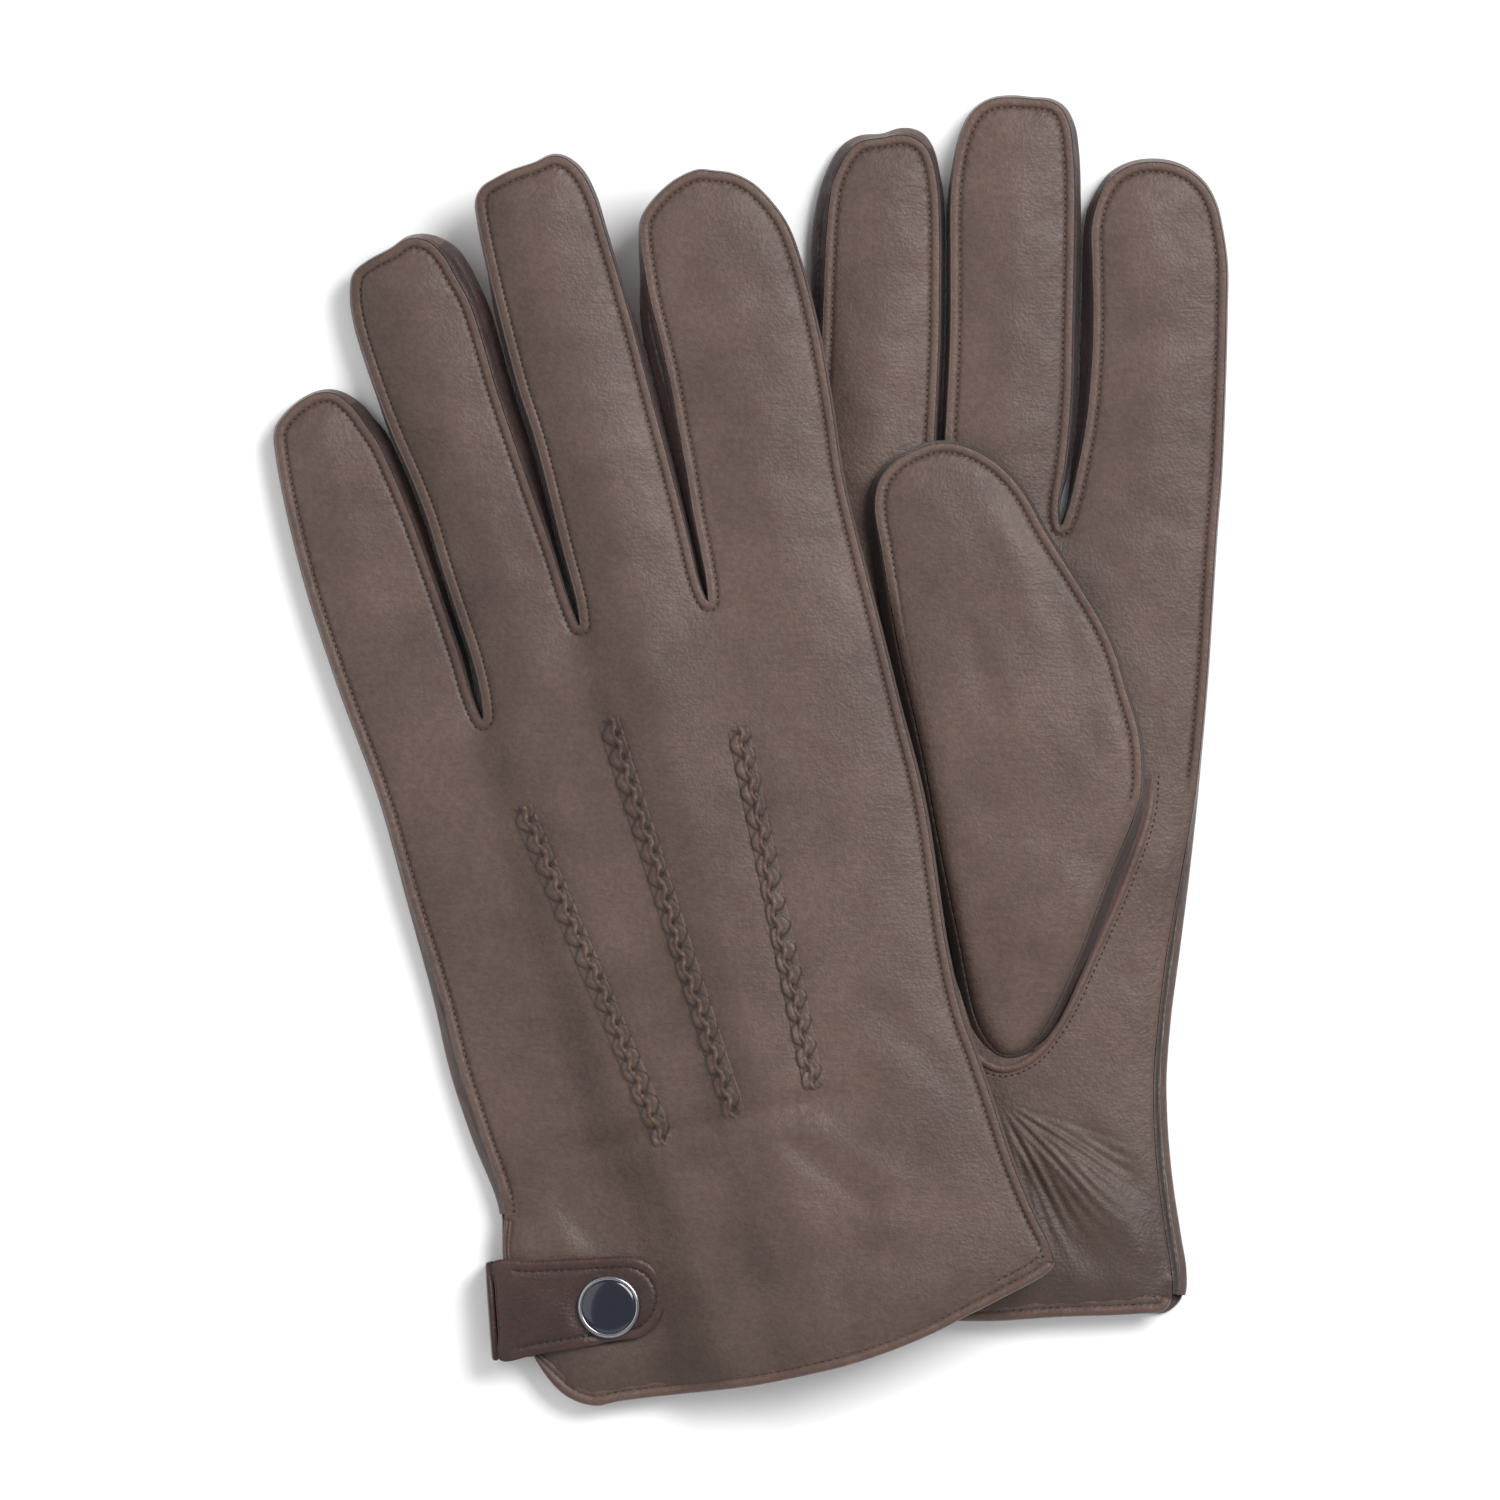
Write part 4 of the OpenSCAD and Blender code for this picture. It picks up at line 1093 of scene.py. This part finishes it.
# ---- points on the back -----------------------------------------------------------------
def make_points(s):
    """Three gathered ridges: a thin wandering cord with scallops to its left and right."""
    glove = s.glove
    upper = glove == L
    v, f, tone = [], [], []
    sv, sf = [], []
    for r, (a, b) in enumerate(POINTS):
        a, b = np.array(a, float), np.array(b, float)
        long = np.hypot(*(b - a))
        d = (b - a) / long
        side = np.array([-d[1], d[0]])
        u = np.arange(-1.5, long + 1.5, 0.3 if upper else 0.6)
        w = np.linspace(-2.7, 2.7, 37 if upper else 19)
        uu, ww = np.meshgrid(u, w, indexing="ij")
        bow = 0.5 * np.sin(uu / 17 + r) + 0.22 * np.sin(uu / 5.3 + 2 * r)
        centre = bow + 0.42 * np.sin(2 * np.pi * uu / SCALLOP + 0.4 * np.sin(uu / 7))
        off = ww - centre
        beat = 0.8 + 0.3 * np.sin(2 * np.pi * uu / SCALLOP * 2 + r)
        h = 0.95 * np.exp(-((off / 0.6) ** 2)) * beat
        t = 0.5 * np.exp(-((off / 0.45) ** 2))
        for sign in (-1, 1):
            start = 0.25 if sign > 0 else 0.75
            phase = (uu / SCALLOP + start + 0.05 * np.sin(uu / 6 + r)) % 1 - 0.5
            size = 1 + 0.18 * np.sin(uu / 8.7 + r + sign)
            rr = (phase / 0.46) ** 2 + ((off * sign - 1.15) / (0.95 * size)) ** 2
            lobe = np.sqrt(np.clip(1 - rr, 0, 1))
            h = np.maximum(h, (0.42 if sign > 0 else 0.52) * lobe * size)
            # painted shade: dark rings in the creases round the scallops, and darker scallops on
            # one side of the cord
            outline = np.exp(-(((np.sqrt(rr) - 1.04) / 0.19) ** 2)) * (off * sign > 0.45)
            t = t - (1.1 if sign > 0 else 0.8) * outline
            t = t - (0.3 if sign > 0 else 0.1) * lobe * (off * sign > 0.5)
        end = smooth((uu + 1.5) / 2.5) * smooth((long + 1.5 - uu) / 2.5)
        h = (h + 0.08) * end
        edge = smooth((2.7 - np.abs(ww)) / 0.7)
        h = h * edge - 0.6 * (1 - edge * end)
        p = a + uu[..., None] * d + ww[..., None] * side
        flat = p.reshape(-1, 2)
        if upper:
            z = s.lift(flat, True)[0] + h.ravel() + 0.35 * along_line(flat, a, b, 2.6, 3)
        else:
            z = np.maximum(lay(glove, flat) + 0.1 - 1.25 * h.ravel(), 0.02)
        base = len(v)
        quads = grid_faces(len(u), len(w))
        quads = [q[::-1] for q in quads] if not upper else quads
        f += [tuple(i + base for i in q) for q in quads]
        v += np.column_stack([flat, z]).tolist()
        tone += (t * end * edge).ravel().tolist()
        # the small stitches that draw each scallop in
        for k in range(int(long / SCALLOP * 2)):
            uk = (k + 0.5) * SCALLOP / 2
            c = 0.5 * np.sin(uk / 17 + r) + 0.22 * np.sin(uk / 5.3 + 2 * r)
            q0 = a + uk * d + side * (c + (0.35 if k % 2 else -0.35))
            path = np.array([q0 - d * 0.55 + side * 0.2, q0 + d * 0.55 - side * 0.2])
            if upper:
                zz = s.lift(path, True)[0] + 0.85
            else:
                zz = np.full(2, 0.06)
            q, g = stitches_along(path, zz, 1.05, 0.13, 0.9)
            sf += [tuple(i + len(sv) for i in x) for x in g]
            sv += q.tolist()
    o = piece(f"{glove}_gathered_points", on_table(np.array(v), glove), f, BROWN, None, tone)
    attach(o, glove, "hand", "points")
    o = piece(f"{glove}_points_stitching", on_table(np.array(sv), glove), sf, THREAD)
    attach(o, glove, "hand")


# ---- thumbs ----------------------------------------------------------------------------
def thumb_place(glove, p):
    """Thumb drawing to glove frame; the left thumb lies turned under its palm."""
    if glove == R:
        return np.array(p, float)
    q = np.array(p, float)
    q[..., :2] = turn(q[..., :2] - np.array([13.3, 45.5]), -17) + np.array([5.3, 45.5])
    return q


def make_thumb(glove):
    body = "thumb" if glove == R else "hand"
    e = curve(THUMB, STEP)
    n_in = inward(e)
    tree = tree_of(e)
    low_edge = e.copy()
    low_edge[:, :2] -= n_in * np.maximum(e[:, 2] - 0.4, 0)[:, None]

    def height(p, upper):
        if upper:
            k, d = nearest(tree, p)
            bead = e[k, 3]
            z, tone = seam_profile(d, bead)
            foot = 3.6 * (1 - smooth((p[:, 1] - 44) / 34))
            z = z + 1.8 * (1 - np.exp(-np.clip(d - 1.6 * bead, 0, 50) / 7)) - 0.9 - foot
            z -= 1.1 * (1 - bead) * np.exp(-d / 0.9)
            # painted shade along the thumb's plain rolled edge
            tone = tone - 0.5 * (1 - bead) * np.exp(-d / 1.1)
            z += (0.3 * ripple(p, 30, 71, (1, 1.4)) * smooth(d / 8)
                  + 0.1 * ripple(p, 12, 72) * smooth(d / 5))
            if glove == R:
                for a, b, width, deep in (
                    ((2, 136), (9, 112), 3.2, 0.45), ((28, 88), (16, 66), 3.5, -0.5),
                    ((19, 72), (15, 52), 2.2, 0.4),
                    ((8, 156), (20, 128), 3, -0.35), ((30, 118), (36, 104), 2.4, -0.3),
                    ((12, 60), (14, 50), 1.6, 0.4),
                    ((4, 90), (12, 60), 3, 0.35), ((33, 96), (25, 78), 2.2, 0.35),
                ):
                    z -= deep * along_line(p, a, b, width)
            s_ = k * STEP
            pucker = np.exp(-np.clip(d - 2, 0, 50) / 2.2) * (d > 1.9)
            z += pucker * 0.06 * bead * np.cos(2 * np.pi * s_ / 2.9)
            return THUMB_LOW + THICK + z, tone
        d = nearest(low_tree, p)[1]
        z = 0.5 * np.exp(-d / 1.5)
        return THUMB_LOW + z, np.zeros(len(p))

    low_tree = tree_of(low_edge)
    p0, f0 = fill(e, RINGS, STEP, grid=1.5)
    p1, f1 = fill(low_edge, (0.6, 1.6, 3), STEP, [THUMB_MOUTH], grid=2.6)
    if glove == L:
        # the left thumb lies face down, so its outer side is below
        z0, t0 = height(p0, True)
        z0 = 2 * THUMB_LOW + THICK - z0
        z1, t1 = height(p1, False)
        z1 = 2 * THUMB_LOW + THICK - z1
    else:
        z0, t0 = height(p0, True)
        z1, t1 = height(p1, False)
    v = np.vstack([np.column_stack([p0, z0]), np.column_stack([p1, z1])])
    n0 = len(p0)
    faces = list(f0) + [tuple(i + n0 for i in q[::-1]) for q in f1]
    kind = [0] * len(f0) + [1] * len(f1)
    tone = np.concatenate([t0, t1])
    ring_at = [np.arange(len(e))]
    for reach, drop in ((0.3, 0.1), (0.55, 0.25), (0.85, 0.42), (1, 0.58), (1, 0.74), (0.9, 0.9)):
        q = e[:, :2] - n_in * (e[:, 2] * reach)[:, None]
        ring_at.append(np.arange(len(e)) + len(v))
        v = np.vstack([v, np.column_stack([q, z0[: len(e)] * (1 - drop) + z1[: len(e)] * drop])])
        # painted shade on the thumb's sides, in the dark gap round it
        tone = np.concatenate([tone, np.full(len(e), -1.2)])
    ring_at.append(np.arange(len(e)) + n0)
    nxt = np.roll(np.arange(len(e)), -1)
    for a, b in zip(ring_at[:-1], ring_at[1:]):
        for i in range(len(e)):
            faces.append((a[i], b[i], b[nxt[i]], a[nxt[i]]))
            kind.append(2)
    kind = np.array(kind)
    if glove == L:
        faces = [q[::-1] for q in faces]
    v = thumb_place(glove, v)
    n = vertex_normals(v, faces)
    for node, mask in (("thumb_outer", kind != 1), ("thumb_inner", kind == 1)):
        pv, pf, pn, pt = part_of(v, faces, n, tone, mask)
        o = piece(f"{glove}_{node}_leather", on_table(pv, glove), pf, BROWN,
                  turn(pn, PLACE[glove][1]), pt)
        attach(o, glove, body, node)
    # its seam stitches
    path = e[:, :2] + n_in * (BEAD + 0.2)
    on = e[:, 3] > 0.6
    z = height(path, True)[0] + 0.05
    if glove == L:
        z = 2 * THUMB_LOW + THICK - z
    ks = np.flatnonzero(on)
    q, g = stitches_along(path[ks], z[ks])
    o = piece(f"{glove}_thumb_stitching", on_table(thumb_place(glove, q), glove), g, THREAD)
    attach(o, glove, body)
    # knit lining inside the thumb
    k = curve([m[:2] for m in THUMB], 2.4)
    k = k + inward(k) * 1.6
    cols = len(k)
    rows = [(0.8, 0), (0.3, 0.25), (0.3, 0.75), (0.8, 1)]
    low, high = THUMB_LOW + 1.1, THUMB_LOW + THICK - 2.2
    v = []
    for tuck, h in rows:
        q = k + inward(k) * tuck
        foot = 2.4 * (1 - smooth((q[:, 1] - 44) / 34)) * (h if glove == R else 1 - h)
        v.append(np.column_stack([q, low + (high - low) * h - foot if glove == R
                                  else np.full(cols, low + 1.1 + (high - low) * h)]))
    middle = np.array([[12.0, 108.0]])
    for h in (0, 1):
        v.append(np.column_stack([middle, [low + (high - low) * h + (0 if glove == R else 1.1)]]))
    v = np.vstack(v)
    f = grid_faces(len(rows), cols, closed=True)
    c0, c1 = len(v) - 2, len(v) - 1
    f += [(c0, i, (i + 1) % cols) for i in range(cols)]
    f += [(c1, 3 * cols + (i + 1) % cols, 3 * cols + i) for i in range(cols)]
    o = piece(f"{glove}_thumb_knit", on_table(thumb_place(glove, v), glove), f, KNIT)
    attach(o, glove, body, "thumb_lining")


def make_thumb_seam(s):
    """The palm's beaded edge round the foot of the right thumb."""
    marks = [(40.6, 105), (40.2, 97), (36.4, 84), (30.6, 69), (24.6, 55), (19, 47.2), (13, 44.6),
             (8, 46.6), (5, 54), (1.6, 67)]
    path = curve(marks, 0.8, closed=False)
    n_in = inward(path, closed=False)
    taper = smooth(np.minimum(np.arange(len(path)), np.arange(len(path))[::-1]) / 12)
    section = [(-1.1, -0.5), (-0.8, 0.1), (-0.3, 0.42), (0.25, 0.42), (0.7, 0.1), (0.9, -0.5)]
    level = s.lift(path, True)[0]
    v, tone = [], []
    for k in range(len(path)):
        for a, h in section:
            q = path[k] - n_in[k] * a
            v.append((q[0], q[1], level[k] + h * taper[k] - 0.3 * (1 - taper[k]) + 0.1))
            # the bead's crest rubbed lighter; painted shade along its foot
            tone.append(0.6 if h > 0.3 else -0.5 if h < 0 else 0)
    f = grid_faces(len(path), len(section))
    o = piece("right_thumb_seam", on_table(np.array(v), R), f, BROWN, None, tone)
    attach(o, R, "hand")
    line = path + n_in * -1.35
    q, g = stitches_along(line, s.lift(line, True)[0] + 0.05)
    o = piece("right_thumb_seam_stitching", on_table(q, R), g, THREAD)
    attach(o, R, "hand")


def make_thumb_gusset():
    """The fold of leather that joins the palm to the thumb along its hinge line."""
    palm = curve([(40.6, 104), (39.6, 97), (36, 84), (30.2, 69), (24.2, 55), (19.5, 48.6)], 0.8,
                 closed=False)
    thumb = curve([(39.4, 104), (38.6, 96), (34.6, 83.4), (28.6, 66.2), (22.2, 52), (18.6, 48.8)],
                  0.8,
                  closed=False)
    n = min(len(palm), len(thumb))
    palm = palm[np.linspace(0, len(palm) - 1, n).astype(int)]
    thumb = thumb[np.linspace(0, len(thumb) - 1, n).astype(int)]
    rows, low, high = 9, RIGHT_TOP - 0.2, THUMB_LOW + 2.4
    v = []
    for k in range(rows):
        t = k / (rows - 1)
        sag = 0.35 * np.sin(np.pi * t)
        q = palm * (1 - t) + thumb * t - inward(palm, closed=False) * sag
        v.append(np.column_stack([q, np.full(n, low * (1 - t) + high * t)]))
    o = piece("right_thumb_gusset", on_table(np.vstack(v), R), grid_faces(rows, n), SHADED_SIDE)
    start, end = on_table(np.array([[30, 75, low + 0.2], [30, 75, high - 0.1]]), R)
    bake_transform(o)


# ---- strap and snap -----------------------------------------------------------------------
def strap_to_table(p, glove):
    """Strap frame to the table: x along the strap, z up from the glove's back."""
    q = np.array(p, float)
    if glove == R:
        q[..., 2] = -q[..., 2]
    q[..., :2] = turn(q[..., :2], STRAP_TURN[glove]) + np.array(STRAP_AT[glove])
    q[..., 2] += THICK if glove == L else STRAP_LIFT
    return on_table(q, glove)


def strap_sides(x):
    """The two long edges of the strap, which widens towards the fold."""
    w, t = STRAP_WIDE / 2, 1 - np.clip(x / 26, 0, 1)
    return -w + 0.4 - 2.3 * t, w + 0.5 + 0.7 * t


def strap_outline(step=0.8):
    low, high = strap_sides(STRAP_LONG - 8.5)
    mid, w = (low + high) / 2, (high - low) / 2
    end = [(STRAP_LONG - 8.5 + w * np.cos(a), mid + w * np.sin(a))
           for a in np.radians(np.arange(80, -81, -16))]
    along = (8, 16, STRAP_LONG - 9.5)
    low, high = strap_sides(0)
    marks = [(0.2, low), (0.2, low / 2), (0.2, 0), (0.2, high / 2), (0.2, high)]
    marks += [(x, strap_sides(x)[1]) for x in along] + end
    marks += [(x, strap_sides(x)[0]) for x in along[::-1]]
    return curve(marks, step)


def make_strap(glove):
    flip = glove == R
    e = strap_outline()
    rings = (0.25, 0.6, 1.0, 1.5, 1.9, 2.15, 2.4, 2.9, 3.8)
    p, f = fill(e, rings, STEP, grid=1.3)
    tree = tree_of(e)
    d = nearest(tree, p)[1]
    x, y = p[:, 0], p[:, 1]
    high = SNAP_GAP + STRAP_THICK
    roll = np.sqrt(np.clip(1 - (np.clip(0.9 - d, 0, 0.9) / 0.9) ** 2, 0, 1))
    z = high - 0.55 + 0.5 * roll - 0.22 * np.exp(-(((d - 2.15) / 0.35) ** 2)) * (x > 4)
    z += 0.12 * ripple(p, 13, 81) * smooth(d / 4)
    seat = np.hypot(x - SNAP_AT, y - SNAP_SIDE)
    z -= 0.35 * np.exp(-(((seat - 6.6) / 1.1) ** 2))
    # tone: lighter on the rolled edge; painted shade in the stitch groove and in the dip round the
    # snap's seat
    tone = 0.75 * np.exp(-(((d - 0.9) / 0.5) ** 2)) * (x > 2)
    tone -= 0.8 * np.exp(-(((d - 2.15) / 0.3) ** 2)) * (x > 4)
    tone -= 0.3 * np.exp(-(((seat - 6.9) / 0.8) ** 2))
    n0 = len(p)
    mid = SNAP_GAP + 0.5
    v = np.vstack([np.column_stack([p, z]), np.column_stack([e, np.full(len(e), mid)])])
    tone = np.concatenate([tone, np.full(len(e), -0.2)])
    k, nxt = np.arange(len(e)), np.roll(np.arange(len(e)), -1)
    f = list(f) + [(k[i], k[i] + n0, nxt[i] + n0, nxt[i]) for i in range(len(e))]
    f = [q[::-1] for q in f] if flip else f
    o = piece(f"{glove}_strap_leather", strap_to_table(v, glove), f, STRAP, None, tone)
    attach(o, glove, "strap", "strap")
    # backing
    p, f = fill(e, (0.4, 1.2, 2.4), STEP, [[(SNAP_AT + 1.6 * np.cos(a), SNAP_SIDE + 1.6 * np.sin(a))
                                            for a in np.radians(np.arange(0, -360, -45))]], grid=2)
    d = nearest(tree, p)[1]
    z = SNAP_GAP + 0.3 * np.exp(-d / 0.5)
    n0 = len(p)
    v = np.vstack([np.column_stack([p, z]), np.column_stack([e, np.full(len(e), mid)])])
    f = [q[::-1] for q in f] + [(k[i] + n0, k[i], nxt[i], nxt[i] + n0) for i in range(len(e))]
    f = [q[::-1] for q in f] if flip else f
    o = piece(f"{glove}_strap_back_leather", strap_to_table(v, glove), f, STRAP)
    attach(o, glove, "strap", "strap_backing")
    # edge stitching
    line = e + inward(e) * 2.15
    keep = np.flatnonzero(line[:, 0] > 3)
    order = keep[np.argsort((keep - int(np.argmax(e[:, 1] > 0))) % len(e))]  # starts at the fold
    q, g = stitches_along(line[order], np.full(len(order), high - 0.15), 1.45, 0.16, 0.95)
    g = [x[::-1] for x in g] if flip else g
    o = piece(f"{glove}_strap_stitching", strap_to_table(q, glove), g, THREAD)
    attach(o, glove, "strap")
    # the part that wraps the edge from the palm side: a bent band with rounded edges
    h = (THICK if glove == L else RIGHT_TOP - STRAP_LIFT) - 1.1
    inner = 10 if glove == L else 8
    middle = [(inner, -h + 0.3), (inner - 3, -h + 0.3), (2, -h + 0.3), (0.2, -h + 0.25),
              (-0.6, -h + 0.9),
              (-0.85, -h + 2), (-0.9, 0), (-0.85, SNAP_GAP - 0.4), (-0.55, SNAP_GAP + 0.75)]
    line = curve([(a, b) for a, b in middle], 0.6, closed=False)
    n_line = inward(line, closed=False)
    lo, w = strap_sides(0)
    v = []
    across = [(lo, 0), (lo + 0.15, 0.42), (lo + 0.9, 0.55), (lo / 2, 0.58), (0, 0.58),
              (w / 2, 0.58),
              (w - 0.9, 0.55), (w - 0.15, 0.42), (w, 0), (w - 0.15, -0.42), (w - 0.9, -0.5),
              (0, -0.5),
              (lo + 0.9, -0.5), (lo + 0.15, -0.42)]
    for (a, b), n_ in zip(line, n_line):
        for yy, out in across:
            v.append((a - n_[0] * out, yy, b - n_[1] * out))
    f = grid_faces(len(line), len(across), closed=True)
    last = (len(line) - 1) * len(across)
    f += [tuple(range(len(across)))[::-1], tuple(range(last, last + len(across)))]
    f = [q[::-1] for q in f] if not flip else f
    o = piece(f"{glove}_strap_wrap", strap_to_table(np.array(v), glove), f, STRAP)
    attach(o, glove, "hand", "strap_anchor")
    make_cap(glove)


TURNS = 64                  # sides of a turned part


def lathe(section):
    v = [(r * np.cos(a), r * np.sin(a), z) for r, z in section
         for a in np.linspace(0, 2 * np.pi, TURNS, endpoint=False)]
    return np.array(v), grid_faces(len(section), TURNS, closed=True)


def make_cap(glove):
    """Domed enamel cap in a pressed rim, with the socket, stud and post under it."""
    z0, r = SNAP_GAP + STRAP_THICK, CAP_D / 2
    rim = [(r - 1.6, -0.1), (r - 0.1, -0.05), (r, 0.15), (r - 0.05, 0.42), (r - 0.3, 0.62),
           (r - 0.62, 0.68),
           (r - 0.85, 0.6), (r - 0.95, 0.45)]
    dome = [(r - 0.8, 0.45), *[((r - 0.85) * np.cos(a), 0.55 + (CAP_HIGH - 0.5) * np.sin(a))
                               for a in np.radians(np.arange(4, 88, 7))], (0.02, CAP_HIGH + 0.05)]
    socket = [(1.2, 1.8), (1.2, 1.65), (2.4, 1.65), (2.5, 0.95), (2.65, 0.8), (3.2, 0.75),
              (4.3, 0.8), (4.58, 0.95),
              (4.6, 1.35), (4.45, 1.65), (3.9, 1.8)]
    stud = [(4.3, 0.0), (4.3, 0.25), (4.15, 0.38), (3.0, 0.4), (2.0, 0.48), (1.8, 0.75),
            (2.05, 1.0), (2.0, 1.2),
            (1.6, 1.33), (0.5, 1.35)]
    post = [(3.6, -1.6), (3.6, -1.3), (3.4, -1.12), (1.0, -1.1), (0.9, -0.9)]
    parts = (("snap_rim", rim, CHROME, "snap_metal", z0, "strap", None),
             ("snap_dome", dome, CAP, "cap", z0, "strap", "snap_cap"),
             ("snap_socket_ring", socket, BRASS, "snap_metal", 0, "strap", "snap_socket"),
             ("snap_stud_knob", stud, BRASS, "snap_metal", 0, "hand", "snap_stud"),
             ("snap_post_disc", post, BRASS, "snap_metal", 0, "hand", "snap_post"))
    for name, section, material, slot, z, body, node in parts:
        v, f = lathe(section)
        top = (len(section) - 1) * TURNS
        if name not in ("snap_rim", "snap_socket_ring"):
            f.append(tuple(range(top, top + TURNS)))
        if name == "snap_post_disc":
            f.append(tuple(range(TURNS))[::-1])
        v[:, 0] += SNAP_AT
        v[:, 1] += SNAP_SIDE
        v[:, 2] += z
        f = [q[::-1] for q in f] if glove == R else f
        o = piece(f"{glove}_{name}", strap_to_table(v, glove), f, material)
        attach(o, glove, body, node)


def make_elastic(glove):
    """Ribbed elastic that draws in the wrist, between leather and lining."""
    x0, x1 = (-30, 6) if glove == L else (-30, 32)
    xs = np.arange(x0, x1, 0.4)
    ys = np.linspace(43, 48, 7)
    xx, yy = np.meshgrid(xs, ys, indexing="ij")
    flat = np.column_stack([xx.ravel(), yy.ravel()])
    wave = 0.12 * np.cos(2 * np.pi * flat[:, 0] / 1.6)
    if glove == L:
        z = lay(L, flat) + 0.95 + wave
    else:
        z = np.full(len(flat), RIGHT_TOP - 1.05) + wave
    v = np.vstack([np.column_stack([flat, z]), np.column_stack([flat, z - 0.3])])
    n = len(flat)
    f = grid_faces(len(xs), len(ys))
    f = f + [tuple(i + n for i in q[::-1]) for q in f]
    o = piece(f"{glove}_elastic_band", on_table(v, glove), f, BAND)
    attach(o, glove, "hand", "wrist_elastic")


# ---- build ---------------------------------------------------------------------------------
for glove in (R, L):
    shell = make_leather(glove)
    make_hem(shell)
    make_points(shell)
    make_lining(glove)
    make_thumb(glove)
    if glove == R:
        make_thumb_seam(shell)
        make_thumb_gusset()
    make_strap(glove)
    make_elastic(glove)


# ---- table, light and camera ------------------------------------------------------------------
def stage():
    scene = bpy.context.scene
    mesh = bpy.data.meshes.new("table")
    size, n = 3.0, 24
    t = np.linspace(-size, size, n)
    gx, gy = np.meshgrid(t, t, indexing="ij")
    points = np.column_stack([gx.ravel(), gy.ravel(), np.full(n * n, -0.0002)])
    mesh.from_pydata(points.tolist(), [], grid_faces(n, n))
    paint = Paint("white_table")
    colour = paint.ramp(paint.noise(3, 2), (0, (0.93, 0.93, 0.935)), (1, (0.96, 0.96, 0.96)))
    mesh.materials.append(paint.finish(colour, [], {"Roughness": 0.8, "Specular IOR Level": 0.1}))
    table = bpy.data.objects.new("table", mesh)
    scene.collection.objects.link(table)

    world = bpy.data.worlds.new("studio")
    world.use_nodes = True
    world.node_tree.nodes["Background"].inputs["Color"].default_value = (1, 1, 1, 1)
    world.node_tree.nodes["Background"].inputs["Strength"].default_value = 0.42
    scene.world = world
    for name, at_, size_, power in (
        ("key", (0.75, 0.6, 1.2), 0.75, 24),
        ("fill", (-0.9, 0.2, 1.4), 1.4, 7),
        ("front", (0.1, -1.1, 1.0), 1.2, 3),
    ):
        light = bpy.data.lights.new(name, "AREA")
        light.size = size_
        light.energy = power
        o = bpy.data.objects.new(name, light)
        o.location = at_
        o.rotation_mode = "QUATERNION"
        o.rotation_quaternion = (-Vector(at_)).to_track_quat("-Z", "Y")
        scene.collection.objects.link(o)

    cam = bpy.data.cameras.new("camera")
    cam.lens = 400
    cam.sensor_width = 36
    cam.clip_end = 20
    o = bpy.data.objects.new("camera", cam)
    o.location = (0, 0, 0.3 / 36 * 400 + 0.012)
    o.rotation_euler = (0, 0, 0)
    scene.collection.objects.link(o)
    scene.camera = o
    scene.view_settings.view_transform = "Standard"
    scene.view_settings.look = "None"


stage()
